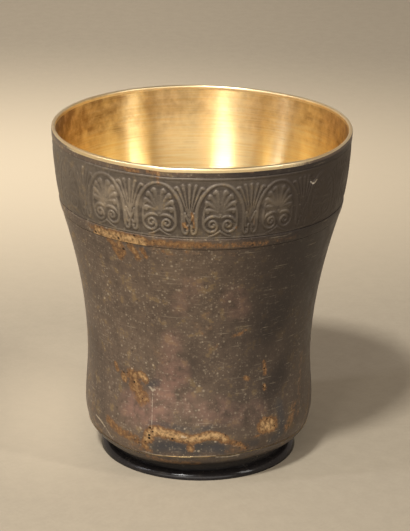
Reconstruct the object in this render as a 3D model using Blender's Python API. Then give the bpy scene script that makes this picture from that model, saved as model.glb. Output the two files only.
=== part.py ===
"""A footed silver beaker with a waisted wall, a rolled frieze under the lip and a gilt inside.

The beaker is put together from six turned or rolled pieces, as a silversmith would solder them:
a raised wall, a dished base pan, a foot ring, a lip wire, a frieze strip and a fillet wire.
Everything is in metres, with +Z up. The origin is on the table, on the beaker's own axis.
"""

import math

import bmesh
import bpy
from mathutils import Vector
from mathutils.geometry import delaunay_2d_cdt

# Overall sizes
OVERALL_HEIGHT = 0.0868
RIM_RADIUS = 0.0380

# Outline of the wall: radii on its outer face, and the lean of that face from upright
SEAM_RADIUS = 0.0288
SEAM_LEAN = math.radians(13.9)
BELLY_RADIUS = 0.0296
BELLY_RISE = 0.0048
WAIST_RADIUS = 0.0290
WAIST_RISE = 0.0182
FLARE_RADIUS = 0.0349
FLARE_DROP = 0.0234
FLARE_LEAN = math.radians(16.2)
RIM_LEAN = math.radians(1.8)

# Sheet, wire and solder seams
WALL_SHEET = 0.0006
RIM_TAPER = 0.0200
PAN_SHEET = 0.0008
SOLDER_GAP = 0.0003

# Lip wire: a rounded wire that closes the top edge of the wall
LIP_WIDTH = 0.0010
LIP_HEIGHT = 0.0011

# Frieze strip and the fillet wire under it, both let into a channel in the wall
FRIEZE_DROP = 0.0024
FRIEZE_HEIGHT = 0.0156
STRIP_SHEET = 0.00035
PALMETTES = 16
FIRST_PALMETTE = math.radians(7.0)
GROUND_DEPTH = 0.00012
CREST_RELIEF = 0.00020
BORDER_HEIGHT = 0.0005
BORDER_RELIEF = 0.00012
FILLET_HEIGHT = 0.0029
FILLET_RELIEF = 0.00025

# Base pan: a flat floor with its edge turned up to meet the wall
PAN_FLAT_RADIUS = 0.0240
PAN_RISE = 0.0044
PAN_TURN_RADIUS = 0.0272
PAN_TURN_RISE = 0.0013

# Foot ring: an upright collar over a rounded bead
FOOT_HEIGHT = 0.0034
FOOT_INSET = 0.0009
FOOT_SHEET = 0.0012
BEAD_REACH = 0.0030
BEAD_HEIGHT = 0.0019
BEAD_TREAD = 0.0006

# How finely the round pieces are drawn
SEGMENTS = 40
LIP_STEPS = 6
BEAD_STEPS = 4
PAN_STEPS = 4

# Drawing of half a repeat of the frieze, from a palmette's middle to the middle of the next sheaf.
# Its own units are about a millimetre, and the strip's height and its count of palmettes scale it.
DRAWING_HALF = 7.33
DRAWING_HEIGHT = 15.6
EGG_MIDDLE = 8.3
EGG_WIDTH = 3.3
EGG_HEIGHT = 3.85
PETAL_TURNS = (20.0, 48.0, 76.0, 104.0)
PETAL_WAYS = (0.36, 0.76, 1.04)
VOLUTE_MIDDLE = (1.8, 3.72)
VOLUTE_RADII = (2.2, 1.88, 0.97, 0.92, 0.84, 0.6)
VOLUTE_STEPS = 8
ARCH_CORNERS = (
    (0.0, 13.9), (2.3, 13.2), (4.2, 11.0), (5.4, 8.0), (5.62, 5.0), (5.7, 2.2), (6.3, 1.35), (6.85, 2.1)
)
EDGE_STEPS = 2
EDGE_SNAP = 0.25
CREST_SPACE = 0.38
FOOT_SPACE = 0.54

# Heights above the table that follow from the sizes
PAN_BOTTOM = FOOT_HEIGHT + SOLDER_GAP
PAN_TOP = PAN_BOTTOM + PAN_RISE
WALL_BOTTOM = PAN_TOP + SOLDER_GAP
WALL_TOP = OVERALL_HEIGHT - LIP_HEIGHT - SOLDER_GAP
FRIEZE_TOP = OVERALL_HEIGHT - FRIEZE_DROP
FRIEZE_BOTTOM = FRIEZE_TOP - FRIEZE_HEIGHT
FILLET_TOP = FRIEZE_BOTTOM - SOLDER_GAP
FILLET_BOTTOM = FILLET_TOP - FILLET_HEIGHT
CHANNEL_TOP = FRIEZE_TOP + SOLDER_GAP
CHANNEL_BOTTOM = FILLET_BOTTOM - SOLDER_GAP
CHANNEL_DEPTH = STRIP_SHEET + SOLDER_GAP

# Back and edges of the frieze strip: share of its height, and offset from the plain wall
STRIP_BACK = (
    (0.0, BORDER_RELIEF),
    (0.0, -STRIP_SHEET),
    (0.33, -STRIP_SHEET),
    (0.67, -STRIP_SHEET),
    (1.0, -STRIP_SHEET),
    (1.0, BORDER_RELIEF),
)

# Stations of the wall's outline, bottom to top: height, radius and outward slope
STATIONS = (
    (WALL_BOTTOM, SEAM_RADIUS, math.tan(SEAM_LEAN)),
    (WALL_BOTTOM + BELLY_RISE, BELLY_RADIUS, 0.0),
    (WALL_BOTTOM + WAIST_RISE, WAIST_RADIUS, 0.0),
    (OVERALL_HEIGHT - FLARE_DROP, FLARE_RADIUS, math.tan(FLARE_LEAN)),
    (OVERALL_HEIGHT, RIM_RADIUS, math.tan(RIM_LEAN)),
)


def wall_radius(height):
    """Outer radius of the plain wall at a height: a cubic between each two stations."""
    for low, high in zip(STATIONS, STATIONS[1:]):
        if height <= high[0]:
            break
    span = high[0] - low[0]
    t = (height - low[0]) / span
    start = (2 * t**3 - 3 * t**2 + 1) * low[1] + (t**3 - 2 * t**2 + t) * span * low[2]
    end = (3 * t**2 - 2 * t**3) * high[1] + (t**3 - t**2) * span * high[2]
    return start + end


def heights(low, high, count):
    """Heights from low to high in equal steps, both ends included."""
    return [low + (high - low) * i / count for i in range(count + 1)]


def face_points(low, high, count, offset):
    """Points (radius, height) up a face that lies at a constant offset from the plain wall."""
    return [(wall_radius(z) + offset, z) for z in heights(low, high, count)]


def ease(t):
    """A smooth step from 0 to 1."""
    return t * t * (3 - 2 * t)


def inner_points(low, high, count, low_sheet, high_sheet):
    """Points up the inner face of the wall, where the metal goes smoothly from one gauge to another."""
    points = []
    for i, z in enumerate(heights(low, high, count)):
        sheet = low_sheet + (high_sheet - low_sheet) * ease(i / count)
        points.append((wall_radius(z) - sheet, z))
    return points


def make_material(name, color, metallic, roughness):
    """A Principled BSDF material of one colour."""
    material = bpy.data.materials.new(name)
    material.use_nodes = True
    shader = material.node_tree.nodes["Principled BSDF"]
    shader.inputs["Base Color"].default_value = (*color, 1.0)
    shader.inputs["Metallic"].default_value = metallic
    shader.inputs["Roughness"].default_value = roughness
    return material


def make_object(name, mesh_builder, material):
    """An object whose mesh is taken from a bmesh, shaded smooth between its sharp edges."""
    mesh = bpy.data.meshes.new(name)
    mesh_builder.to_mesh(mesh)
    mesh_builder.free()
    mesh.materials.append(material)
    mesh.shade_smooth()
    mesh.set_sharp_from_angle(angle=math.radians(35))
    obj = bpy.data.objects.new(name, mesh)
    bpy.context.scene.collection.objects.link(obj)
    return obj


def make_turned(name, outline, material, closed=True):
    """A piece turned about the axis from its outline of (radius, height) points.

    A closed outline makes a ring. An open one starts and ends on the axis and makes a disc or a pan.
    """
    shape = bmesh.new()
    points = [shape.verts.new((radius, 0.0, height)) for radius, height in outline]
    edges = [shape.edges.new(pair) for pair in zip(points, points[1:])]
    if closed:
        edges.append(shape.edges.new((points[-1], points[0])))
    bmesh.ops.spin(
        shape,
        geom=points + edges,
        cent=(0.0, 0.0, 0.0),
        axis=(0.0, 0.0, 1.0),
        angle=2 * math.pi,
        steps=SEGMENTS,
        use_merge=True,
    )
    bmesh.ops.remove_doubles(shape, verts=shape.verts, dist=1e-7)
    bmesh.ops.recalc_face_normals(shape, faces=shape.faces)
    return make_object(name, shape, material)


def make_wall(material):
    """The raised wall: thin below, and caulked thicker towards the rim, where the frieze is let in."""
    taper_bottom = CHANNEL_BOTTOM - RIM_TAPER
    rim_sheet = CHANNEL_DEPTH + WALL_SHEET
    outer = face_points(WALL_BOTTOM, WALL_BOTTOM + WAIST_RISE, 6, 0.0)
    outer += face_points(WALL_BOTTOM + WAIST_RISE, CHANNEL_BOTTOM, 8, 0.0)[1:]
    outer += face_points(CHANNEL_BOTTOM, CHANNEL_TOP, 3, -CHANNEL_DEPTH)
    outer += face_points(CHANNEL_TOP, WALL_TOP, 1, 0.0)
    inner = face_points(WALL_BOTTOM, WALL_BOTTOM + WAIST_RISE, 5, -WALL_SHEET)
    inner += inner_points(WALL_BOTTOM + WAIST_RISE, taper_bottom, 2, WALL_SHEET, WALL_SHEET)[1:]
    inner += inner_points(taper_bottom, CHANNEL_BOTTOM, 4, WALL_SHEET, rim_sheet)[1:]
    inner += inner_points(CHANNEL_BOTTOM, WALL_TOP, 4, rim_sheet, LIP_WIDTH)[1:]
    return make_turned("body_wall", outer + inner[::-1], material)


def make_lip_wire(material):
    """The lip wire: flat below, where it sits on the wall, and half round above."""
    bottom = OVERALL_HEIGHT - LIP_HEIGHT
    middle = RIM_RADIUS - LIP_WIDTH / 2
    shoulder = OVERALL_HEIGHT - LIP_WIDTH / 2
    outline = [(RIM_RADIUS, bottom)]
    for i in range(LIP_STEPS + 1):
        angle = math.pi * i / LIP_STEPS
        outline.append(
            (middle + LIP_WIDTH / 2 * math.cos(angle), shoulder + LIP_WIDTH / 2 * math.sin(angle))
        )
    outline.append((RIM_RADIUS - LIP_WIDTH, bottom))
    return make_turned("lip_wire", outline, material)


def place_on_strip(cell, side, across, up, offset):
    """A point of the frieze in space, from its place in the drawing of half a repeat.

    The drawing is stretched to the strip's own height and to half its repeat round the beaker.
    Every second half is its neighbour's mirror image, and the offset is counted from the plain wall.
    """
    half_turn = math.pi / PALMETTES
    angle = FIRST_PALMETTE + half_turn * (2 * cell + side * across / DRAWING_HALF)
    z = FRIEZE_BOTTOM + FRIEZE_HEIGHT * up / DRAWING_HEIGHT
    radius = wall_radius(z) + offset
    return (radius * math.sin(angle), -radius * math.cos(angle), z)


def smooth_line(corners, count):
    """Points along a smooth line through a few corners of (across, up), as Catmull and Rom draw it."""
    before = tuple(2 * a - b for a, b in zip(corners[0], corners[1]))
    after = tuple(2 * a - b for a, b in zip(corners[-1], corners[-2]))
    ends = [before, *corners, after]
    line = []
    for i in range(count + 1):
        way = (len(corners) - 1) * i / count
        first = min(int(way), len(corners) - 2)
        t = way - first
        weights = (
            -t + 2 * t**2 - t**3,
            2 - 5 * t**2 + 3 * t**3,
            t + 4 * t**2 - 3 * t**3,
            -(t**2) + t**3,
        )
        near = ends[first : first + 4]
        line.append(tuple(sum(w * p[axis] for w, p in zip(weights, near)) / 2 for axis in (0, 1)))
    return line


def petal_line(turned):
    """The crest of a petal, from the palmette's heart out to its egg-shaped edge."""
    root = (0.22, 6.9)
    tip = (EGG_WIDTH * math.sin(turned), EGG_MIDDLE + EGG_HEIGHT * math.cos(turned))
    return [
        tuple(root[axis] + way * (tip[axis] - root[axis]) for axis in (0, 1)) for way in PETAL_WAYS
    ]


def volute_line():
    """The crest of the scroll: it winds in round its middle, and its radius is set at each quarter."""
    line = []
    for i in range(VOLUTE_STEPS + 1):
        quarter = (len(VOLUTE_RADII) - 1) * i / VOLUTE_STEPS
        first = min(int(quarter), len(VOLUTE_RADII) - 2)
        radius = VOLUTE_RADII[first]
        radius += (quarter - first) * (VOLUTE_RADII[first + 1] - radius)
        angle = math.pi / 2 * (1 + quarter)
        line.append(
            (VOLUTE_MIDDLE[0] + radius * math.sin(angle), VOLUTE_MIDDLE[1] + radius * math.cos(angle))
        )
    return line


def sheaf_line(corners, count):
    """A crest of the sheaf, whose corners are counted from the sheaf's own middle."""
    return smooth_line([(DRAWING_HALF - aside, up) for aside, up in corners], count)


def frieze_crests():
    """Every crest in half a repeat: its line, its height at either end and its half width."""
    edge = smooth_line([(3.45, 8.7), (3.85, 7.2), (4.0, 5.4)], 2)
    crests = [
        (edge + volute_line(), 0.8, 0.9, 0.45),
        (smooth_line([(0.35, 5.5), (1.5, 5.95), (3.2, 5.2)], 2), 0.9, 0.8, 0.45),
        (smooth_line(ARCH_CORNERS, 11), 0.8, 0.95, 0.5),
        (smooth_line([(0.0, 1.95), (1.7, 0.95)], 1), 0.8, 0.5, 0.4),
        (sheaf_line([(0.0, 6.2), (0.0, 9.8), (0.0, 13.6)], 2), 0.7, 0.9, 0.45),
        (sheaf_line([(0.5, 7.0), (0.8, 10.0), (1.45, 13.4)], 2), 0.6, 0.9, 0.42),
        (sheaf_line([(1.1, 7.8), (1.75, 10.4), (2.6, 12.3), (3.3, 12.9)], 3), 0.6, 0.95, 0.45),
        (sheaf_line([(0.0, 3.8), (0.5, 5.2), (1.1, 6.5)], 2), 0.9, 0.8, 0.45),
    ]
    return crests + [(petal_line(math.radians(turned)), 0.6, 1.0, 0.55) for turned in PETAL_TURNS]


def leaf_swell(across, up):
    """How far the palmette's body swells above the ground under its petals."""
    off = (across / 3.2) ** 2 + ((up - EGG_MIDDLE) / 4.0) ** 2
    return 0.4 * max(0.0, 1.0 - off)


def draw_half_repeat():
    """The points and triangles of half a repeat, each point as (across, up, share of the relief).

    A crest keeps its own line as edges. On both sides of it, at its half width, a point goes down
    to the ground, unless another crest or another such point is too near.
    """
    points = []
    crest_edges = []
    crest_places = []
    for line, first, last, _ in frieze_crests():
        start = len(points)
        share = [i / (len(line) - 1) for i in range(len(line))]
        points += [(*place, first + (last - first) * way) for place, way in zip(line, share)]
        crest_edges += [(start + i, start + i + 1) for i in range(len(line) - 1)]
        crest_places += [Vector(place) for place in line]
    border = DRAWING_HEIGHT * BORDER_HEIGHT / FRIEZE_HEIGHT
    for up, height in ((0.0, None), (border, 0.0), (DRAWING_HEIGHT - border, 0.0), (DRAWING_HEIGHT, None)):
        start = len(points)
        points += [(DRAWING_HALF * i / EDGE_STEPS, up, height) for i in range(EDGE_STEPS + 1)]
        crest_edges += [(start + i, start + i + 1) for i in range(EDGE_STEPS)]
    ground = [Vector((across, up)) for across, up, height in points if not height]
    for line, _, _, half_width in frieze_crests():
        for i, place in enumerate(line):
            here = Vector(place)
            way = Vector(line[min(i + 1, len(line) - 1)]) - Vector(line[max(i - 1, 0)])
            aside = Vector((-way.y, way.x)).normalized() * half_width
            ends = [way.normalized() * half_width] if i == len(line) - 1 else []
            for step in [aside, -aside] + ends:
                foot = here + step
                if foot.x < EDGE_SNAP:
                    foot.x = 0.0
                if foot.x > DRAWING_HALF - EDGE_SNAP:
                    foot.x = DRAWING_HALF
                if not border + FOOT_SPACE < foot.y < DRAWING_HEIGHT - border - FOOT_SPACE:
                    continue
                if min((foot - crest).length for crest in crest_places) < CREST_SPACE:
                    continue
                if min((foot - other).length for other in ground) < FOOT_SPACE:
                    continue
                ground.append(foot)
                points.append((foot.x, foot.y, leaf_swell(foot.x, foot.y)))
    flat = [Vector((across, up)) for across, up, _ in points]
    _, _, triangles, _, _, _ = delaunay_2d_cdt(flat, crest_edges, [], 0, 1e-5)
    return points, triangles


def make_frieze_strip(material):
    """The frieze strip: a thin rolled band of palmettes in arches, between two raised borders."""
    points, triangles = draw_half_repeat()
    shape = bmesh.new()
    for cell in range(PALMETTES):
        for side in (1, -1):
            verts = []
            for across, up, share in points:
                offset = BORDER_RELIEF if share is None else share * (CREST_RELIEF + GROUND_DEPTH)
                if share is not None:
                    offset -= GROUND_DEPTH
                verts.append(shape.verts.new(place_on_strip(cell, side, across, up, offset)))
            for triangle in triangles:
                shape.faces.new([verts[i] for i in triangle])
            grid = [
                [
                    shape.verts.new(
                        place_on_strip(
                            cell, side, DRAWING_HALF * i / EDGE_STEPS, DRAWING_HEIGHT * up, offset
                        )
                    )
                    for i in range(EDGE_STEPS + 1)
                ]
                for up, offset in STRIP_BACK
            ]
            for low, high in zip(grid, grid[1:]):
                for i in range(EDGE_STEPS):
                    shape.faces.new((low[i], low[i + 1], high[i + 1], high[i]))
    bmesh.ops.remove_doubles(shape, verts=shape.verts, dist=1e-6)
    bmesh.ops.recalc_face_normals(shape, faces=shape.faces)
    return make_object("frieze_strip", shape, material)


def make_fillet_wire(material):
    """The fillet wire under the frieze: flat behind and softly crowned in front."""
    crown = 0.6 * FILLET_RELIEF
    outline = [(wall_radius(FILLET_BOTTOM) - STRIP_SHEET, FILLET_BOTTOM)]
    outline.append((wall_radius(FILLET_BOTTOM), FILLET_BOTTOM))
    for share, relief in ((0.2, crown), (0.5, FILLET_RELIEF), (0.8, crown)):
        z = FILLET_BOTTOM + share * FILLET_HEIGHT
        outline.append((wall_radius(z) + relief, z))
    outline.append((wall_radius(FILLET_TOP), FILLET_TOP))
    outline.append((wall_radius(FILLET_TOP) - STRIP_SHEET, FILLET_TOP))
    return make_turned("fillet_wire", outline, material)


def turn_points(flat_radius, edge_radius, bottom, top):
    """The turned-up edge of a pan face: a quadratic curve from its flat to its upright edge."""
    reach = (PAN_TURN_RADIUS - PAN_FLAT_RADIUS) / (SEAM_RADIUS - PAN_FLAT_RADIUS)
    rise = PAN_TURN_RISE / PAN_RISE
    knee = (flat_radius + reach * (edge_radius - flat_radius), bottom + rise * (top - bottom))
    points = []
    for i in range(PAN_STEPS + 1):
        t = i / PAN_STEPS
        weights = ((1 - t) ** 2, 2 * t * (1 - t), t**2)
        corners = ((flat_radius, bottom), knee, (edge_radius, top))
        points.append(
            tuple(sum(w * corner[axis] for w, corner in zip(weights, corners)) for axis in (0, 1))
        )
    return points


def make_base_pan(material):
    """The base pan: a flat floor whose edge turns up and carries the wall."""
    outer = turn_points(PAN_FLAT_RADIUS, SEAM_RADIUS, PAN_BOTTOM, PAN_TOP)
    inner = turn_points(
        PAN_FLAT_RADIUS - PAN_SHEET / 2,
        SEAM_RADIUS - PAN_SHEET,
        PAN_BOTTOM + PAN_SHEET,
        PAN_TOP,
    )
    outline = [(0.0, PAN_BOTTOM)] + outer + inner[::-1] + [(0.0, PAN_BOTTOM + PAN_SHEET)]
    return make_turned("base_pan", outline, material, closed=False)


def make_foot_ring(material):
    """The foot ring: a collar soldered under the pan, over a rounded bead that stands on the table."""
    collar_radius = PAN_FLAT_RADIUS - FOOT_INSET
    bore_radius = collar_radius - FOOT_SHEET
    outline = [(bore_radius, 0.0)]
    for i in range(BEAD_STEPS + 1):
        share = i / BEAD_STEPS
        angle = math.pi * (share - 0.5)
        tread = collar_radius + BEAD_REACH - BEAD_TREAD
        root = tread + (collar_radius - tread) * share
        bulge = BEAD_TREAD * math.cos(angle)
        outline.append((root + bulge, BEAD_HEIGHT * (1 + math.sin(angle)) / 2))
    outline.append((collar_radius, FOOT_HEIGHT))
    outline.append((bore_radius, FOOT_HEIGHT))
    return make_turned("foot_ring", outline, material)


def clear_scene():
    """Removes the objects that are in the scene when the script starts."""
    for obj in list(bpy.data.objects):
        bpy.data.objects.remove(obj)


def main():
    """Builds the beaker's pieces."""
    clear_scene()
    tarnished = make_material("tarnished_silver", (0.16, 0.125, 0.11), 0.8, 0.42)
    worn = make_material("worn_silver", (0.42, 0.30, 0.17), 0.9, 0.38)
    gilt = make_material("gilt_silver", (0.80, 0.58, 0.30), 1.0, 0.25)
    make_wall(tarnished)
    make_base_pan(tarnished)
    make_foot_ring(tarnished)
    make_lip_wire(gilt)
    make_frieze_strip(tarnished)
    make_fillet_wire(worn)


main()
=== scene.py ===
"""Looks of an old silver beaker: tarnished outside, gilt inside, with a rolled palmette frieze.

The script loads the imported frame, builds a fine surface for each piece of the beaker, dresses it
and sets a plain studio round it. Every shape is a grid of points worked out from two parameters:
the angle round the beaker, and the height or the way along an outline. Sizes are in metres unless
a name says millimetres. Angles round the beaker are in degrees, from the side that faces the
camera towards +X.
"""

from __future__ import annotations

import logging
import math
from dataclasses import dataclass
from enum import Enum

import bpy
import numpy as np
from mathutils import Matrix, Vector


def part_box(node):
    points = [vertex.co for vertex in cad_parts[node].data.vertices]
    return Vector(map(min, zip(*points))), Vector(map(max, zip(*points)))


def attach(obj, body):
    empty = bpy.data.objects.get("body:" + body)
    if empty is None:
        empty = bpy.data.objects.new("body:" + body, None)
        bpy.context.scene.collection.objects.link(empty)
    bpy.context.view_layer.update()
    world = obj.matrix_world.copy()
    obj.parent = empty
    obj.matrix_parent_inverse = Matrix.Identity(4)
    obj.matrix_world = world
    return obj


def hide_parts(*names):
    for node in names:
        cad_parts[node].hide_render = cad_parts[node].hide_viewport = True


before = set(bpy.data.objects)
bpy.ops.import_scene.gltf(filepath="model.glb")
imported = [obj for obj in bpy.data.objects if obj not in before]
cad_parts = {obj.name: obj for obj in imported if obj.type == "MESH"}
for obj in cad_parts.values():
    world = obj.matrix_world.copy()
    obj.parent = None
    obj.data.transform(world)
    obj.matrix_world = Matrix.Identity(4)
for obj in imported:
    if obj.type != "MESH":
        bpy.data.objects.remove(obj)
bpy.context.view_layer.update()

LOG = logging.getLogger("silver_beaker")
BODY = "root"
MM = 0.001

# The waves of a slow field: how many there are, the most turns one makes round the beaker, its
# steepest run in radians a metre, and the peak that brings their sum to about 1.
WAVES = 14
MOST_TURNS = 8
STEEPEST = 260.0
WAVE_PEAK = 1.6

# A mark's path: its points for each corner, and the degrees beside it that are worked out too.
STEPS_PER_CORNER = 6
MARK_MARGIN = 12.0

# Attributes of the tarnished finish; some of them paint shade, sheen, reflections and glints.
TARNISH_AND_PAINTED_LIGHT_FIELDS = ("shade_and_tarnish", "rosy_and_sheen", "smoky_and_reflection", "rubbed_and_reflection", "bare_and_glint", "relief")
GILT_FIELDS = ("stain", "grime")

Colour = tuple[float, float, float, float]
Span = tuple[float, float]
Row = tuple[float, ...]
Ridge = tuple[np.ndarray, Row, Row]
Sockets = bpy.types.bpy_prop_collection


class Slot(Enum):
    """The record's material slots."""

    TARNISHED = "tarnished_silver"
    WORN = "worn_silver"
    GILT = "gilt_silver"


class Wave(Enum):
    """The slow fields, each with the seed of its random draws."""

    OUT_OF_ROUND = 5
    WAVER = 61
    SHADE_AND_TARNISH = 53
    STAIN_INSIDE = 11
    LIP = 17
    FRIEZE = 23
    STAIN_PAN = 37
    FOOT = 41


# Curves and fields


def smooth_path(corners: np.ndarray, count: int) -> np.ndarray:
    """A smooth curve through a few corners.

    Each stretch is the Catmull-Rom cubic of its two ends and their two neighbours, and the path is
    lengthened in a straight line past each end to give the outermost stretches a neighbour.

    Args:
        corners: The corners, one row each, two numbers a row.
        count: How many points the curve gets.

    Returns:
        The curve's points, one row each.
    """
    points = np.asarray(corners, float)
    ends = np.vstack([2 * points[0] - points[1], points, 2 * points[-1] - points[-2]])
    way = np.linspace(0, len(points) - 1, count)
    first = np.minimum(way.astype(int), len(points) - 2)
    t = (way - first)[:, None]
    a, b, c, d = (ends[first + i] for i in range(4))
    return 0.5 * (
        2 * b + (c - a) * t + (2 * a - 5 * b + 4 * c - d) * t**2 + (3 * b - a - 3 * c + d) * t**3
    )


def along(path: np.ndarray, values: Row) -> np.ndarray:
    """Values spread evenly along a path, one for each of its points."""
    return np.interp(np.linspace(0, 1, len(path)), np.linspace(0, 1, len(values)), values)


def ease(value: np.ndarray, low: float, high: float) -> np.ndarray:
    """Smooth step from 0 at low to 1 at high: 3t squared less 2t cubed."""
    t = np.clip((value - low) / (high - low), 0, 1)
    return t * t * (3 - 2 * t)


def angle_between(azimuth: np.ndarray, other: float) -> np.ndarray:
    """How far azimuths lie from another, in degrees from -180 to 180."""
    return (azimuth - other + 180) % 360 - 180


def slow_waves(azimuth: np.ndarray, height: np.ndarray, wave: Wave) -> np.ndarray:
    """A smooth uneven field over the beaker, from about -1 to 1.

    It is a sum of sine waves, each with a whole number of turns round the beaker, so that it closes
    on itself, and a slower or faster run up its height.

    Args:
        azimuth: Angles round the beaker.
        height: Heights above the table.
        wave: Which of the fields it is.

    Returns:
        The field, shaped as the azimuth and the height together.
    """
    draw = np.random.default_rng(wave.value)
    turns = draw.integers(1, 1 + MOST_TURNS, WAVES)
    rise = draw.uniform(-STEEPEST, STEEPEST, WAVES)
    phase = draw.uniform(0, 2 * math.pi, WAVES)
    angle = np.radians(azimuth)[..., None] * turns + height[..., None] * rise + phase
    return np.sin(angle).sum(-1) / math.sqrt(WAVES / 2) / WAVE_PEAK


# The beaker's outline and the knocks it has had


@dataclass(frozen=True)
class Outline:
    """The outer face of the plain wall, as radii at a few heights with a cubic between each two."""

    bottom: float
    top: float
    rim_radius: float
    seam_radius: float = 0.0288
    seam_slope: float = math.tan(math.radians(13.9))
    belly_radius: float = 0.0296
    belly_rise: float = 0.0048
    waist_radius: float = 0.0290
    waist_rise: float = 0.0182
    flare_radius: float = 0.0349
    flare_drop: float = 0.0234
    flare_slope: float = math.tan(math.radians(16.2))
    rim_slope: float = math.tan(math.radians(1.8))

    def radius(self, height: np.ndarray) -> np.ndarray:
        """Outer radius of the wall at some heights.

        Between two stations it is the cubic that has their radii and slopes at its ends.

        Args:
            height: Heights above the table.

        Returns:
            The radii, shaped as the heights.
        """
        stations = (
            (self.bottom, self.seam_radius, self.seam_slope),
            (self.bottom + self.belly_rise, self.belly_radius, 0.0),
            (self.bottom + self.waist_rise, self.waist_radius, 0.0),
            (self.top - self.flare_drop, self.flare_radius, self.flare_slope),
            (self.top, self.rim_radius, self.rim_slope),
        )
        level, value, slope = np.array(stations).T
        height = np.asarray(height, float)
        low = np.clip(np.searchsorted(level, height, "right") - 1, 0, len(level) - 2)
        span = level[low + 1] - level[low]
        t = (height - level[low]) / span
        start = (2 * t**3 - 3 * t**2 + 1) * value[low] + (t**3 - 2 * t**2 + t) * span * slope[low]
        end = (3 * t**2 - 2 * t**3) * value[low + 1] + (t**3 - t**2) * span * slope[low + 1]
        return start + end

    def face(
        self, start: float, end: float, count: int, offset: float | np.ndarray = 0.0
    ) -> np.ndarray:
        """Outline points along a face that follows the wall.

        Args:
            start: The height it starts at.
            end: The height it ends at.
            count: How many points it gets.
            offset: How far it lies outside the wall's outer face, one for all or one a point.

        Returns:
            The points, (radius, height) each.
        """
        height = np.linspace(start, end, count)
        return np.stack([self.radius(height) + offset, height], -1)


@dataclass(frozen=True)
class Knock:
    """A soft dent or sag: a bell-shaped push towards the axis, a drop, or both."""

    azimuth: float
    height: float
    half_arc: float
    half_height: float
    push: float = 0.0
    drop: float = 0.0

    def weight(self, azimuth: np.ndarray, height: np.ndarray) -> np.ndarray:
        """The bell: e to the minus squared distance, counted in half arcs and half heights.

        Args:
            azimuth: Angles round the beaker.
            height: Heights above the table.

        Returns:
            The bell's height from 0 to 1, shaped as the azimuth.
        """
        across = angle_between(azimuth, self.azimuth) / self.half_arc
        up = (height - self.height) / self.half_height
        return np.exp(-(across**2) - up**2)


@dataclass(frozen=True)
class Handling:
    """What years of use did to the turned form: knocks, and a wall no longer quite round."""

    knocks: tuple[Knock, ...] = (
        Knock(52, 0.0868, 24, 0.017, drop=0.00055),
        Knock(-13, 0.0868, 5, 0.006, drop=0.00016),
        Knock(150, 0.0868, 30, 0.015, drop=0.0003),
        Knock(-30, 0.0078, 21, 0.0055, drop=0.00085),
        Knock(36, 0.0080, 20, 0.0050, drop=-0.00035),
        Knock(-12.5, 0.0112, 4.6, 0.0017, push=0.00034),
        Knock(6.5, 0.0112, 5.0, 0.0017, push=0.00036),
        Knock(26, 0.0100, 4.0, 0.0016, push=0.00018),
        Knock(45.5, 0.0815, 1.5, 0.0009, push=0.00040),
        Knock(-57, 0.0105, 4.0, 0.0020, push=0.00022),
        Knock(118, 0.0300, 9.0, 0.0060, push=0.00030),
        Knock(-150, 0.0130, 6.0, 0.0022, push=0.00028),
    )
    wave: float = 0.00012
    waver: float = 0.00003
    waver_turns: int = 5
    waver_rise: float = 0.6
    fade_radius: Span = (0.010, 0.024)
    fade_height: Span = (0.0, 0.005)

    def bend(self, points: np.ndarray) -> np.ndarray:
        """Moves points of the true turned form to where they are on the used one.

        A point keeps its angle. It moves towards the axis by the pushes and by a slow wave that
        only ever goes inwards, and down by the drops. Both fade out near the axis and at the table.

        Args:
            points: Points, three numbers in the last place.

        Returns:
            The moved points.
        """
        x, y, z = np.moveaxis(points, -1, 0)
        radius = np.hypot(x, y)
        azimuth = np.degrees(np.arctan2(x, -y))
        push = self.wave * (0.5 - 0.5 * slow_waves(azimuth, z, Wave.OUT_OF_ROUND))
        fast = slow_waves(azimuth * self.waver_turns, z * self.waver_rise, Wave.WAVER)
        push = push + self.waver * (0.5 - 0.5 * fast)
        drop = np.zeros_like(z)
        for knock in self.knocks:
            weight = knock.weight(azimuth, z)
            push = push + knock.push * weight
            drop = drop + knock.drop * weight
        free = ease(radius, *self.fade_radius) * ease(z, *self.fade_height)
        share = 1 - push * free / np.maximum(radius, MM)
        return np.stack([x * share, y * share, z - drop * free], -1)


# Marks on the surface


@dataclass(frozen=True)
class Places:
    """Where points lie: their angles round the beaker, heights above the table and radii."""

    azimuth: np.ndarray
    height: np.ndarray
    radius: np.ndarray

    @classmethod
    def of(cls, points: np.ndarray) -> Places:
        """The places of points, three numbers in the last place."""
        x, y, z = np.moveaxis(points, -1, 0)
        return cls(np.degrees(np.arctan2(x, -y)), z, np.hypot(x, y))

    def marked(self, marks: tuple[Mark, ...]) -> np.ndarray:
        """The strongest cover of several marks at each place."""
        return np.max([mark.cover(self) for mark in marks], axis=0)


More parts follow.
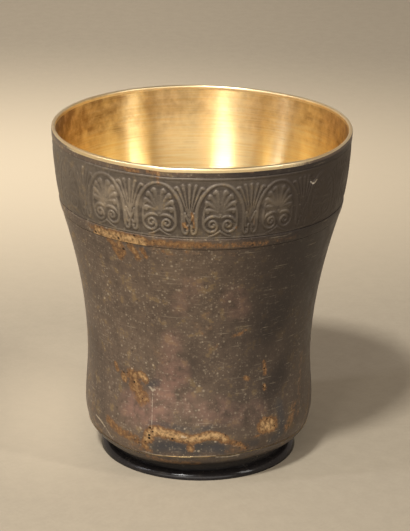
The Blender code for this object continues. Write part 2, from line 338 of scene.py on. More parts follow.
@dataclass(frozen=True)
class Mark:
    """A patch or a streak: a path on the beaker and how far the mark spreads from it.

    The path's corners are (degrees round, millimetres up), and the half width is in millimetres.
    """

    path: tuple[tuple[float, float], ...]
    half_width: float
    strength: float

    def cover(self, at: Places) -> np.ndarray:
        """How much of the mark lies at some places, from 0 to its strength.

        It is one less the squared share of the half width that the place lies off the nearest
        stretch of the path, cut at nought. Only places near the path are worked out.

        Args:
            at: The places.

        Returns:
            The cover, shaped as the places.
        """
        path = np.array(self.path, float)
        many = len(path) > 1
        path = smooth_path(path, STEPS_PER_CORNER * len(path)) if many else path.repeat(2, 0)
        middle = path[:, 0].mean()
        turned, up = angle_between(at.azimuth, middle), at.height / MM
        reach = np.abs(path[:, 0] - middle).max() + MARK_MARGIN
        low, high = path[:, 1].min() - self.half_width, path[:, 1].max() + self.half_width
        near = (np.abs(turned) < reach) & (up > low) & (up < high)
        size = at.radius[near] / MM
        place = np.stack([np.radians(turned[near]) * size, up[near]], -1)[:, None]
        around = np.radians(path[:, 0] - middle) * size[:, None]
        line = np.stack([around, np.broadcast_to(path[:, 1], around.shape)], -1)
        start, way = line[:, :-1], np.diff(line, axis=1)
        length = np.maximum((way**2).sum(-1), 1e-9)
        share = np.clip(((place - start) * way).sum(-1) / length, 0, 1)[..., None]
        squared = ((place - start - share * way) ** 2).sum(-1).min(-1) / self.half_width**2
        cover = np.zeros(near.shape)
        cover[near] = self.strength * np.clip(1 - squared, 0, 1)
        return cover


def marks(*rows: tuple[float | tuple[float, float], ...]) -> tuple[Mark, ...]:
    """Marks, from a row each: its half width, its strength and the corners of its path."""
    return tuple(Mark(tuple(path), half_width, strength) for half_width, strength, *path in rows)


RUBBED_AND_REFLECTION_WALL = marks(
    (1.8, 0.66, (-51, 13.8), (-46, 12.6), (-40, 12), (-36, 11.8), (-32, 11.4)),
    (1.4, 0.52, (-32, 11.2), (-29, 11), (-27, 9.4)),
    (2, 1, (-25, 12.8), (-24, 14), (-21, 14.7), (-16, 14.4), (-11, 13.9), (-7, 13.5)),
    (1.7, 1, (-7, 13.5), (-3, 13.3), (1, 13.6), (5, 14.2), (9, 14), (13, 13)),
    (1.4, 0.74, (-26, 12.8), (-27, 11.4), (-27, 10.2)),
    (1.4, 0.7, (-5, 13), (-4, 11.8), (-3.5, 10.4)),
    (1.5, 0.6, (12, 12.6), (18, 11.6), (25, 9.6)),
    (1.2, 0.4, (-36, 9.8), (-30, 9.4), (-24, 9.2)),
    (1, 0.42, (14, 9.3), (22, 9)),
    (1.3, 0.42, (16, 10.2), (24, 9.2)),
    (3.1, 0.98, (34.5, 14.9), (38.5, 14.7)),
    (2, 0.5, (50, 12), (53, 14), (56, 17.2)),
    # These two streaks at the right edge are painted reflections of the floor, in the worn metal's
    # colour.
    (1.4, 0.34, (60, 14), (62, 22), (64, 30)),
    (1.5, 0.35, (68, 9), (74, 14), (78, 20)),
    (0.8, 0.5, (29, 12.6), (31, 12.4)),
    (1.2, 0.85, (-41.5, 27.6), (-40, 26.2)),
    (1, 0.8, (-46.5, 29.6), (-45, 28.2)),
    (1.25, 1, (-30.5, 28.9), (-28.5, 28.4), (-27, 27.4)),
    (1.1, 0.35, (-22, 37), (-21, 35)),
    (0.95, 0.66, (34, 32.2), (34.5, 30.6), (34.8, 29)),
    (0.9, 0.72, (23, 29), (25, 28.5)),
    (0.9, 0.8, (34.5, 25.6), (35, 24.8)),
    (0.9, 0.48, (16, 40.8), (19, 41.2), (22, 42)),
    (1.3, 0.3, (2, 46.5), (4, 48.2)),
    (1.6, 0.3, (-2, 44.5), (2, 42), (5, 43.5)),
    (2, 0.3, (-20, 35.5), (-17, 33.5)),
    (3, 0.72, (-35, 28), (-32, 24.5), (-29, 22.5)),
    (1.2, 0.3, (8, 38.5), (5, 37.6)),
    (1.6, 0.72, (-39, 65.2), (-37, 63.6), (-35, 61.2)),
    (1.5, 0.75, (-34, 64.6), (-33, 62.4)),
    (1.5, 0.7, (-29, 65), (-27, 63.2), (-26, 61.8)),
    (1.2, 0.66, (-24, 64.6), (-22.5, 62.6)),
    (1, 0.42, (-19, 65), (-15, 64.6), (-11, 64)),
    (0.9, 0.35, (-6, 65), (0, 64.4)),
    (0.9, 0.3, (8, 65), (14, 64)),
    (1, 0.4, (-68, 15), (-66, 11), (-60, 8.8)),
    (1.2, 0.62, (-31, 86), (-28, 85.2), (-24, 84.8)),
    (1, 0.55, (-20, 85.6), (-18, 85)),
    (0.8, 0.8, (-16.4, 86), (-15.6, 84.4)),
    (0.8, 0.5, (-12, 86), (-7, 85.7)),
    (0.7, 0.5, (17, 86), (19, 85.8)),
    (1.2, 0.8, (100, 12.5), (112, 13.8), (126, 13), (139, 13.6)),
    (1.2, 0.75, (160, 13), (174, 14.4), (190, 13.4)),
    (1.1, 0.7, (-150, 12.6), (-132, 13.6), (-112, 12.6)),
    (1, 0.45, (96, 40), (97, 37)),
    (1.2, 0.5, (146, 58), (149, 52)),
    (1.3, 0.5, (-128, 33), (-122, 31)),
    (1.4, 0.5, (178, 24), (184, 25)),
)

ROSY_AND_SHEEN_WALL = marks(
    # These three patches on the front of the belly are pink tarnish and also a painted sheen from
    # the key lamp.
    (5.8, 1, (-34, 19.5), (-29, 20), (-22, 18.8)),
    (4.8, 0.9, (-19, 22), (-15, 27), (-12, 31)),
    (4.2, 0.62, (-7, 23), (1, 20.5), (9, 21.5)),
    (3.4, 0.6, (-13, 40), (-14.5, 34)),
    (4, 0.36, (12, 20), (22, 19), (30, 19.5)),
    (4, 0.4, (15, 52), (18, 48)),
    (4, 0.35, (-8, 50), (-4, 55)),
    (6, 0.7, (100, 26), (122, 22)),
    (6, 0.6, (-110, 44), (-126, 36)),
    (6, 0.6, (170, 46), (186, 38)),
)

PALE_AND_SHEEN_FRIEZE = marks(
    # A painted sheen on the frieze's front left.
    (4.5, 0.8, (-40, 75), (-30, 79), (-24, 74)),
    (4, 0.35, (24, 76), (30, 76)),
    (4.5, 0.6, (120, 76), (150, 77)),
    (4.5, 0.6, (-150, 76), (-120, 77)),
)

SMOKY_AND_REFLECTION_WALL = marks(
    # Painted dark reflections in the two dents just above the foot.
    (2.3, 1, (-22, 10.2), (-17, 11), (-10, 11.1), (-7, 10.4)),
    (2.3, 1, (-1, 10.3), (3, 11.1), (8, 10.9), (12, 10.2)),
    (1, 0.55, (-24, 16.6), (-14, 16.4), (-4, 15.8), (6, 16.4)),
    (1.4, 0.7, (-25, 26.6), (-21, 27.4)),
    (1.4, 0.5, (-24, 66), (-22, 64)),
    (1.4, 0.6, (24, 10.6), (30, 10.4)),
    (1.8, 0.7, (44, 20), (46, 12), (40, 9.8)),
    (2, 0.9, (112, 10.6), (124, 10.8)),
    (2, 0.9, (-160, 10.4), (-146, 10.8)),
)

RUBBED_FILLET = marks(
    (1.2, 0.55, (-49, 67.4), (-45, 67)),
    (1.9, 1, (-45, 66.9), (-38, 66.9), (-30, 66.9), (-23, 66.8)),
    (0.6, 1, (-47, 65.8), (-35, 65.8), (-22, 65.8)),
    (1.5, 0.62, (-22, 66.9), (-10, 66.9), (3, 67)),
    (1.3, 0.45, (3, 66.8), (14, 66.8), (26, 66.6)),
    (1, 0.3, (30, 66.8), (40, 66.8)),
    (1.4, 0.5, (92, 66.8), (130, 66.8)),
    (1.5, 0.65, (150, 66.8), (205, 66.8)),
    (1.3, 0.45, (-140, 66.8), (-96, 66.8)),
)

BARE_AND_GLINT_WALL = marks(
    # Painted glints: whitish dashes where the lower left edge catches the light.
    (0.6, 1, (-62.5, 12.7), (-58, 11.9), (-55, 11)),
    (0.5, 0.9, (-53.5, 10.6), (-51, 9.6), (-49, 8.9)),
    (0.4, 0.86, (-29, 8.7), (-22, 8.35), (-16, 8.3), (-8, 8.2), (-2, 8.3), (9, 8.3)),
    (0.6, 0.9, (-25.2, 25.9), (-23.4, 25.3), (-22.4, 25.5)),
    (0.6, 1, (-35.4, 29.8)),
    (0.38, 0.8, (-23.6, 25), (-23.4, 20), (-23.5, 15.2)),
    (0.5, 1, (9.2, 54.6)),
    (0.5, 0.95, (10.4, 52.2)),
    (0.5, 0.9, (13, 50.8), (13.8, 50.7)),
    (0.5, 0.9, (6, 57.4)),
    (0.5, 0.9, (4.6, 63)),
    (0.5, 0.85, (-8.5, 60.6)),
    (0.45, 0.62, (17.5, 33.2), (24, 33)),
    (0.5, 0.8, (23.5, 29.2)),
    (0.48, 0.7, (12.5, 11.6), (20, 10.4), (24, 9.6)),
    (0.6, 1, (8.5, 12.4)),
    (0.6, 0.95, (-8, 13.9), (-6, 13.7)),
    (0.5, 0.85, (-12.5, 14.2)),
    (0.5, 0.66, (118, 21), (119, 34)),
    (0.55, 0.9, (-133, 12), (-128, 11.2)),
)

BARE_PAN = marks(
    (0.4, 0.85, (9, 8), (12, 7.8), (16, 7.7), (22, 7.9)),
)

RUBBED_PAN = marks(
    (1.5, 0.5, (-26, 6.4), (-17, 5.6), (-8, 5.4), (0, 5.4)),
    (1.6, 0.5, (120, 6), (150, 5.6)),
    (1.6, 0.5, (-150, 6), (-120, 5.8)),
)

BARE_FRIEZE = marks(
    (0.42, 0.85, (45, 80.7), (46.4, 80.2), (48, 80.9)),
)

RUBBED_LIP = marks(
    (1.2, 0.35, (-52, 86), (-46, 86)),
    (1.2, 0.5, (-33, 86.2), (-30, 85.8), (-27, 85.6)),
    (1, 0.7, (-21, 86.2), (-18, 85.9)),
    (0.8, 0.5, (-13, 86.2), (-7, 86)),
    (0.7, 0.5, (17, 86.2), (19, 86)),
    (0.9, 0.6, (110, 86.2), (121, 86)),
    (0.9, 0.6, (-170, 86.2), (-158, 86)),
)

RUBBED_FRIEZE = marks(
    (0.9, 1, (-6.2, 72.4), (-5.6, 71.6)),
    (0.55, 1, (-3.2, 75.4), (-2.9, 73.4), (-2.6, 71.8)),
    (0.8, 0.7, (13.8, 71.4)),
    (0.6, 0.5, (19.8, 73.4), (20, 72.4)),
    (0.8, 1, (-16.2, 84.2), (-15.6, 82.4)),
    (1.2, 0.34, (-30, 84), (-24, 83), (-20, 81.6)),
    (1.2, 0.3, (-42, 72.6), (-36, 72)),
    (0.9, 0.6, (-20, 69.2), (-16, 69)),
    (0.9, 0.6, (104, 74), (106, 72)),
    (1, 0.6, (171, 80), (172, 76)),
    (0.9, 0.6, (-126, 73), (-124, 71)),
)


def shade_and_tarnish_field(at: Places) -> np.ndarray:
    """How far the colour goes to its deep tone: painted shade in a broad bell on the right,
    strongest high up.

    A band under the lip is dark too, from the middle of the front to the right.

    Args:
        at: Places on the beaker.

    Returns:
        The share of the deep tone, shaped as the places.
    """
    side_middle, side_arc, side_rise, low_share = 62.0, 51.0, (0.015, 0.060), 0.50
    band_start, band_turn, band_rise, band_depth = -16.0, (6.0, 18.0), (0.0840, 0.0848), 0.45
    uneven = 0.15
    # Painted shade on the side away from the key lamp, darkest high up; the waves add uneven dark
    # tarnish.
    side = np.exp(-((angle_between(at.azimuth, side_middle) / side_arc) ** 4))
    body = side * (low_share + (1 - low_share) * ease(at.height, *side_rise))
    round_front = ease(angle_between(at.azimuth, band_start), *band_turn)
    band = band_depth * ease(at.height, *band_rise) * round_front
    waves = slow_waves(at.azimuth, at.height, Wave.SHADE_AND_TARNISH)
    return np.minimum(body + band + uneven * waves**2, 1.0)


# Grids and meshes


def azimuths(columns: int, start: float = -180.0, sweep: float = 360.0) -> np.ndarray:
    """Even angles round the beaker; a full turn leaves out its last angle, which is its first."""
    return start + sweep * np.arange(columns) / (columns if sweep == 360.0 else columns - 1)


def turn(outline: np.ndarray, azimuth: np.ndarray) -> np.ndarray:
    """Carries an outline round the axis.

    At angle a, radius r and height h the point is r sin a, minus r cos a, h.

    Args:
        outline: Outline points, (radius, height) each. A third axis in front gives each column its
            own outline.
        azimuth: The columns' angles, in degrees.

    Returns:
        A grid of points, columns by outline points by three.
    """
    angle = np.radians(azimuth)[:, None]
    radius = np.broadcast_to(outline[..., 0], (len(azimuth), outline.shape[-2]))
    height = np.broadcast_to(outline[..., 1], radius.shape)
    return np.stack([radius * np.sin(angle), -radius * np.cos(angle), height], -1)


def ring_quads(columns: int, rows: int, closed_round: bool = True) -> np.ndarray:
    """Faces of a grid whose rows close on themselves.

    A face joins points (c, r), (c+1, r), (c+1, r+1) and (c, r+1), with the numbers taken round.

    Args:
        columns: Columns of points round the beaker.
        rows: Points in each column's closed outline.
        closed_round: Whether the last column meets the first.

    Returns:
        Four point numbers a face.
    """
    last = columns if closed_round else columns - 1
    c, r = np.meshgrid(np.arange(last), np.arange(rows), indexing="ij")
    c2, r2 = (c + 1) % columns, (r + 1) % rows
    return np.stack([c * rows + r, c2 * rows + r, c2 * rows + r2, c * rows + r2], -1).reshape(-1, 4)


def revolve(outline: np.ndarray, columns: int) -> tuple[np.ndarray, np.ndarray, Places]:
    """Carries a closed outline the whole way round.

    Args:
        outline: Outline points, (radius, height) each.
        columns: How many columns of points it makes.

    Returns:
        The points, their faces and their places.
    """
    points = turn(outline, azimuths(columns))
    return points, ring_quads(columns, len(outline)), Places.of(points)


def upright(radius: float, height: np.ndarray) -> np.ndarray:
    """Outline points at one radius."""
    return np.stack([np.full(len(height), radius), height], -1)


def set_out(name: str, data: bpy.types.ID) -> bpy.types.Object:
    """Makes an object and links it to the scene.

    Args:
        name: The object's name.
        data: Its mesh, lamp or camera.

    Returns:
        The object.
    """
    item = bpy.data.objects.new(name, data)
    bpy.context.scene.collection.objects.link(item)
    return item


@dataclass
class Piece:
    """A finished mesh and what it stands for. A field that it isn't given is nought."""

    name: str
    node: str
    slot: Slot
    points: np.ndarray
    faces: tuple[np.ndarray, ...]
    fields: dict[str, float | np.ndarray]
    materials: tuple[bpy.types.Material, ...]
    face_material: np.ndarray | None = None
    sharp_angle: float = 40.0

    def place(self) -> bpy.types.Object:
        """Makes the object, rides it on the body and lets it stand for its CAD node.

        Returns:
            The object, at the origin, with its place in its mesh.
        """
        mesh = bpy.data.meshes.new(self.name)
        faces = [face for part in self.faces for face in part.tolist()]
        mesh.from_pydata(self.points.reshape(-1, 3).tolist(), [], faces)
        for name in TARNISH_AND_PAINTED_LIGHT_FIELDS + GILT_FIELDS:
            values = np.ravel(self.fields.get(name, 0.0))
            spread = np.broadcast_to(values, len(mesh.vertices)).astype(np.float32)
            mesh.attributes.new(name, "FLOAT", "POINT").data.foreach_set("value", spread)
        for material in self.materials:
            mesh.materials.append(material)
        if self.face_material is not None:
            mesh.polygons.foreach_set("material_index", self.face_material.astype(np.int32))
        mesh.shade_smooth()
        mesh.set_sharp_from_angle(angle=math.radians(self.sharp_angle))
        mesh.update()
        piece = set_out(self.name, mesh)
        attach(piece, BODY)
        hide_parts(self.node)
        mesh.calc_loop_triangles()
        LOG.info("%s: %d triangles", self.name, len(mesh.loop_triangles))
        return piece


# Shader building


class Graph:
    """Adds and joins the nodes of one tree."""

    def __init__(self, tree: bpy.types.NodeTree) -> None:
        """Starts on a tree."""
        self.tree = tree

    def add(self, kind: str, *values: object, **settings: object) -> bpy.types.Node:
        """Adds a node.

        Args:
            kind: The node's type.
            values: What its first inputs take, in order: a socket, a value, or None to leave one.
            settings: The node's own settings.

        Returns:
            The node.
        """
        node = self.tree.nodes.new(kind)
        for name, value in settings.items():
            setattr(node, name, value)
        for socket, value in zip(node.inputs, values):
            self.feed(socket, value)
        return node

    def feed(self, socket: bpy.types.NodeSocket, value: object) -> None:
        """Links a socket to another, or gives it a value.

        Args:
            socket: The input that takes it.
            value: An output's socket, a value, or None to leave the input as it is.
        """
        if isinstance(value, bpy.types.NodeSocket):
            self.tree.links.new(value, socket)
        elif value is not None:
            socket.default_value = value

    def math(self, operation: str, a: object, b: object = None, clamp: bool = False) -> object:
        """A Math node's result."""
        return self.add("ShaderNodeMath", a, b, operation=operation, use_clamp=clamp).outputs[0]

    def times(self, first: object, *others: object) -> object:
        """The product of some values.

        Args:
            first: The first value.
            others: The values that it is multiplied by, in order.

        Returns:
            The product.
        """
        for other in others:
            first = self.math("MULTIPLY", first, other)
        return first

    def plus(self, a: object, b: object, clamp: bool = False) -> object:
        """The sum of two values."""
        return self.math("ADD", a, b, clamp)

    def less(self, a: object, b: object, clamp: bool = False) -> object:
        """Value a less value b."""
        return self.math("SUBTRACT", a, b, clamp)

    def vector(self, operation: str, a: object, b: object = None, output: str = "Vector") -> object:
        """A Vector Math node's result."""
        return self.add("ShaderNodeVectorMath", a, b, operation=operation).outputs[output]

    def attribute(self, name: str) -> object:
        """The value of one of the mesh's attributes."""
        return self.add("ShaderNodeAttribute", attribute_name=name).outputs["Fac"]

    def mix(self, factor: object, a: object, b: object) -> object:
        """Colour a turned into colour b by a factor."""
        values = (factor, None, None, None, None, None, a, b)
        return self.add("ShaderNodeMix", *values, data_type="RGBA").outputs[2]

    def tint(self, color: object, towards: object, *shares: object) -> object:
        """A colour turned towards another by the product of some shares."""
        return self.mix(self.times(*shares), color, towards)

    def blend(self, factor: object, a: object, b: object) -> object:
        """Value a turned into value b by a factor."""
        return self.add("ShaderNodeMix", factor, None, a, b, data_type="FLOAT").outputs[0]

    def step(self, value: object, low: float, high: float) -> object:
        """Smooth step of a value from 0 at low to 1 at high."""
        node = self.add("ShaderNodeMapRange", value, low, high, interpolation_type="SMOOTHSTEP")
        return node.outputs[0]

    def noise(self, vector: object, scale: object, detail: float, rough: float) -> object:
        """A Noise Texture's value, from about 0.2 to 0.8.

        Args:
            vector: The place.
            scale: Features for each unit of the place.
            detail: Octaves past the first.
            rough: How strong the finer octaves are.

        Returns:
            The value.
        """
        node = self.add("ShaderNodeTexNoise")
        inputs = {"Vector": vector, "Scale": scale, "Detail": detail, "Roughness": rough}
        for name, value in inputs.items():
            self.feed(node.inputs[name], value)
        return node.outputs["Fac"]

    def group(self, tree: bpy.types.NodeTree, **inputs: object) -> bpy.types.Node:
        """Places a node group.

        Args:
            tree: The group.
            inputs: Its inputs' values, by name.

        Returns:
            The group's node.
        """
        node = self.add("ShaderNodeGroup", node_tree=tree)
        for name, value in inputs.items():
            self.feed(node.inputs[name], value)
        return node

    def mask(self, tree: bpy.types.NodeTree, **inputs: object) -> object:
        """Places a node group and gives its first output."""
        return self.group(tree, **inputs).outputs[0]

    def bump(self, shader: Sockets, height: object, strength: float, reach: float) -> None:
        """Turns a height into a shader's normal.

        Args:
            shader: The shader's inputs.
            height: The height, from 0 to about 1.
            strength: The bump's strength.
            reach: Millimetres that a height of 1 stands for.
        """
        node = self.add("ShaderNodeBump")
        node.inputs["Strength"].default_value = strength
        node.inputs["Distance"].default_value = reach * MM
        self.feed(node.inputs["Height"], height)
        self.feed(shader["Normal"], node.outputs[0])


def new_group(
    name: str, values: tuple[str, ...], results: tuple[str, ...]
) -> tuple[bpy.types.NodeTree, Graph, Sockets, Sockets]:
    """Starts a shader node group that takes a vector and some values, and gives some values.

    Args:
        name: The group's name.
        values: The names of the values it takes.
        results: The names of the values it gives.

    Returns:
        The group's tree, a graph on it, the sockets that bring its inputs and those that take its
        outputs.
    """
    tree = bpy.data.node_groups.new(name, "ShaderNodeTree")
    tree.interface.new_socket("Vector", in_out="INPUT", socket_type="NodeSocketVector")
    for direction, sockets in (("INPUT", values), ("OUTPUT", results)):
        for socket in sockets:
            tree.interface.new_socket(socket, in_out=direction, socket_type="NodeSocketFloat")
    graph = Graph(tree)
    return tree, graph, graph.add("NodeGroupInput").outputs, graph.add("NodeGroupOutput").inputs


@dataclass(frozen=True)
class Effects:
    """The node groups that several finishes share."""

    specks: bpy.types.NodeTree
    ragged: bpy.types.NodeTree
    turning: bpy.types.NodeTree
    mottle: bpy.types.NodeTree

    @classmethod
    def build(cls) -> Effects:
        """Builds each group once."""
        return cls(make_specks(), make_ragged(), make_turning(), make_mottle())

    def strew(self, g: Graph, place: object, sizes: Span, share: object) -> object:
        """Specks of a spacing and a size in millimetres, over a share of their cells."""
        return g.mask(self.specks, Vector=place, Spacing=sizes[0], Size=sizes[1], Share=share)

    def tear(self, g: Graph, place: object, amount: object, edge: Span) -> object:
        """A ragged mask of an amount, with an edge of so many features a millimetre and a depth."""
        return g.mask(self.ragged, Vector=place, Amount=amount, Scale=edge[0], Depth=edge[1])


def make_specks() -> bpy.types.NodeTree:
    """Pin-prick specks: a round dot in some cells of a Voronoi pattern, in the size asked for.

    Returns:
        The group.
    """
    tree, g, got, out = new_group("pin_specks", ("Spacing", "Size", "Share"), ("Mask",))
    cells = g.add("ShaderNodeTexVoronoi", feature="F1")
    g.feed(cells.inputs["Vector"], got["Vector"])
    g.feed(cells.inputs["Scale"], g.math("DIVIDE", 1.0, got["Spacing"]))
    chance, bulk, shine = g.add("ShaderNodeSeparateColor", cells.outputs["Color"]).outputs
    reach = g.math("DIVIDE", got["Size"], got["Spacing"])
    size = g.times(reach, g.plus(0.55, g.times(bulk, 0.9)))
    near = g.less(1.0, g.math("DIVIDE", cells.outputs["Distance"], size), clamp=True)
    dot = g.times(g.step(near, 0.0, 0.7), g.math("LESS_THAN", chance, got["Share"]))
    bright = g.plus(0.25, g.times(g.math("POWER", shine, 2.0), 0.75))
    g.feed(out["Mask"], g.times(dot, bright))
    return tree


def make_ragged() -> bpy.types.NodeTree:
    """Turns a soft amount into a ragged mask: the amount plus noise, cut off in a narrow step.

    Returns:
        The group.
    """
    tree, g, got, out = new_group("ragged_edge", ("Amount", "Scale", "Depth"), ("Mask",))
    coarse = g.noise(got["Vector"], got["Scale"], 4.0, 0.62)
    fine = g.noise(got["Vector"], g.times(got["Scale"], 3.7), 3.0, 0.6)
    rough = g.plus(g.times(coarse, 0.6), g.times(fine, 0.4))
    total = g.plus(got["Amount"], g.times(g.less(rough, 0.5), got["Depth"]))
    present = g.step(got["Amount"], 0.02, 0.18)
    g.feed(out["Mask"], g.times(g.step(total, 0.30, 0.62), present))
    return tree


def make_turning() -> bpy.types.NodeTree:
    """Fine lines round the axis, as a cloth or a lathe leaves them: noise that barely varies round.

    Returns:
        The group.
    """
    tree, g, got, out = new_group("turning_lines", ("Per_mm", "Stretch"), ("Height", "Tone"))
    x, y, z = g.add("ShaderNodeSeparateXYZ", got["Vector"]).outputs
    flat = g.add("ShaderNodeCombineXYZ", x, y).outputs[0]
    span = g.add("ShaderNodeVectorMath", g.vector("NORMALIZE", flat), operation="SCALE")
    g.feed(span.inputs["Scale"], got["Stretch"])
    level = g.plus(z, g.times(g.vector("LENGTH", flat, output="Value"), 0.73))
    up = g.add("ShaderNodeCombineXYZ", 0.0, 0.0, g.times(level, got["Per_mm"])).outputs[0]
    place = g.vector("ADD", span.outputs[0], up)
    g.feed(out["Height"], g.noise(place, 1.0, 2.0, 0.6))
    g.feed(out["Tone"], g.noise(g.vector("MULTIPLY", place, (0.7, 0.7, 0.24)), 1.0, 4.0, 0.62))
    return tree


def make_mottle() -> bpy.types.NodeTree:
    """Uneven tone in four sizes of blotch, the last of them fine enough for a skin.

    Returns:
        The group.
    """
    per_mm = {"Broad": 0.07, "Middle": 0.32, "Small": 1.05, "Fine": 2.6}
    tree, g, got, out = new_group("mottle", (), tuple(per_mm))
    for name, scale in per_mm.items():
        g.feed(out[name], g.noise(got["Vector"], scale, 3.0, 0.6))
    return tree


def start_material(name: str) -> tuple[bpy.types.Material, Graph, Sockets, object]:
    """An empty material with its Principled shader and a place in millimetres.

    Args:
        name: The material's name.

    Returns:
        The material, a graph on its tree, the shader's inputs, and the Object coordinates in
        millimetres.
    """
    material = bpy.data.materials.new(name)
    material.use_nodes = True
    g = Graph(material.node_tree)
    place = g.add("ShaderNodeTexCoord").outputs["Object"]
    scaled = g.add("ShaderNodeVectorMath", place, operation="SCALE")
    scaled.inputs["Scale"].default_value = 1 / MM
    return material, g, material.node_tree.nodes["Principled BSDF"].inputs, scaled.outputs[0]


@dataclass(frozen=True)
class TarnishedSilver:
    """Silver gone dark, with specks, pink and grey patches and worn places, and with painted shade,
    sheen, reflections and glints.
    """

    name: str
    deep: Colour = (0.037, 0.031, 0.029, 1)
    plain: Colour = (0.197, 0.146, 0.108, 1)
    rosy_and_sheen: Colour = (0.290, 0.170, 0.135, 1)
    smoky_and_reflection: Colour = (0.056, 0.059, 0.066, 1)
    olive: Colour = (0.310, 0.215, 0.095, 1)
    rubbed_and_reflection: Colour = (0.330, 0.190, 0.100, 1)
    bright: Colour = (0.860, 0.610, 0.340, 1)
    speck: Colour = (0.520, 0.450, 0.335, 1)
    bare_and_glint: Colour = (0.820, 0.740, 0.610, 1)
    pit: Colour = (0.040, 0.027, 0.020, 1)
    tone_shares: tuple[tuple[str, float], ...] = (
        ("Broad", 0.30), ("Middle", 0.36), ("Small", 0.20)
    )
    tone_range: Span = (0.14, 0.76)
    runs: tuple[float, float, float] = (0.75, 0.75, 0.05)
    run_share: float = 0.14
    fine_range: Span = (0.32, 0.68)
    fine_share: float = 0.30
    olive_gain: float = 4.2
    olive_edge: Span = (1.3, 1.9)
    pits: Span = (1.05, 0.34)
    holes: Span = (0.95, 0.38)
    tiny: Span = (1.15, 0.34)
    large: Span = (2.6, 0.42)
    dust: Span = (0.66, 0.32)
    crowd_range: Span = (0.40, 0.62)
    crowd: Span = (0.30, 1.25)
    dust_range: Span = (0.36, 0.62)
    dust_crowd: Span = (0.08, 0.80)
    uneven_range: Span = (0.26, 0.62)
    scratch_pitch: float = 3.1
    scratch_length: float = 4.5
    scratch_range: Span = (0.64, 0.72)
    scratched: float = 0.7
    low_range: Span = (0.0, 0.75)
    high_range: Span = (0.40, 1.0)
    worn_edge: Span = (1.05, 1.55)
    haze_range: Span = (0.30, 0.75)
    patch_range: Span = (0.30, 0.58)
    patch_cover: Span = (0.50, 0.95)
    rich_range: Span = (1.25, 1.95)
    bare_range: Span = (0.50, 0.95)
    roughness: float = 0.44
    drift: float = 0.40
    worn_roughness: float = 0.40
    metal_share: float = 0.50
    worn_metal: float = 0.96
    gloss: float = 0.30
    shade_and_tarnish: float = 0.92
    calm: float = 0.85
    rosy_share: float = 0.75
    smoky_share: float = 0.85
    bare_share: float = 0.68
    speck_share: float = 0.36
    speck_depth: float = 0.72
    dusty: float = 0.50
    olive_share: float = 0.40
    pit_share: float = 0.55
    relief_contrast: float = 0.0
    skin: float = 0.16
    skin_reach: float = 0.1

    def tarnish(self, g: Graph, effects: Effects, place: object, blotch: Sockets) -> object:
        """The tarnish without its marks.

        Its tone runs from deep to plain with three sizes of blotch and with faint runs down the
        wall. Olive stains lie over it where the middle blotches are strongest.

        Args:
            g: The material's graph.
            effects: The shared node groups.
            place: The place on the piece, in millimetres.
            blotch: The mottle's outputs.

        Returns:
            The colour.
        """
        runs = g.noise(g.vector("MULTIPLY", place, self.runs), 1.0, 3.0, 0.6)
        tone = g.times(runs, self.run_share)
        for name, share in self.tone_shares:
            tone = g.plus(tone, g.times(blotch[name], share))
        color = g.mix(g.step(tone, *self.tone_range), self.deep, self.plain)
        fine = g.step(blotch["Fine"], *self.fine_range)
        color = g.tint(color, self.plain, fine, self.fine_share)
        amount = g.math("MULTIPLY", g.less(blotch["Middle"], 0.5), self.olive_gain, clamp=True)
        stains = effects.tear(g, place, amount, self.olive_edge)
        color = g.tint(color, self.olive, stains, self.olive_share)
        elsewhere = g.vector("ADD", place, (7.3, 2.9, 5.1))
        pits = effects.strew(g, elsewhere, self.pits, 0.5)
        return g.tint(color, self.pit, pits, self.pit_share)

    def strewn(
        self, g: Graph, effects: Effects, place: object, blotch: Sockets, share: object
    ) -> tuple[object, object]:
        """Specks and finer dust, crowded in the stronger blotches.

        Args:
            g: The material's graph.
            effects: The shared node groups.
            place: The place on the piece, in millimetres.
            blotch: The mottle's outputs.
            share: How many of the specks are let stand here.

        Returns:
            The specks' mask and the dust's.
        """
        crowd = g.blend(g.step(blotch["Middle"], *self.crowd_range), *self.crowd)
        share = g.times(crowd, self.speck_share, share)
        tiny = effects.strew(g, place, self.tiny, share)
        large = effects.strew(g, place, self.large, share)
        thick = g.blend(g.step(blotch["Small"], *self.dust_range), *self.dust_crowd)
        return g.math("MAXIMUM", tiny, large), effects.strew(g, place, self.dust, thick)

    def metal(
        self, g: Graph, effects: Effects, place: object, rubbed_and_reflection: object, fleck: object
    ) -> object:
        """The metal under the tarnish: coppery, brighter where it is most worn, and pitted; it also
        colours the painted reflections.

        Args:
            g: The material's graph.
            effects: The shared node groups.
            place: The place on the piece, in millimetres.
            rubbed_and_reflection: How worn the place is, with the painted reflections.
            fleck: The small blotches.

        Returns:
            The colour.
        """
        rich = g.step(g.plus(rubbed_and_reflection, g.times(fleck, 1.4)), *self.rich_range)
        holes = g.step(effects.strew(g, place, self.holes, 0.3), 0.1, 0.5)
        return g.mix(holes, g.mix(rich, self.rubbed_and_reflection, self.bright), self.pit)

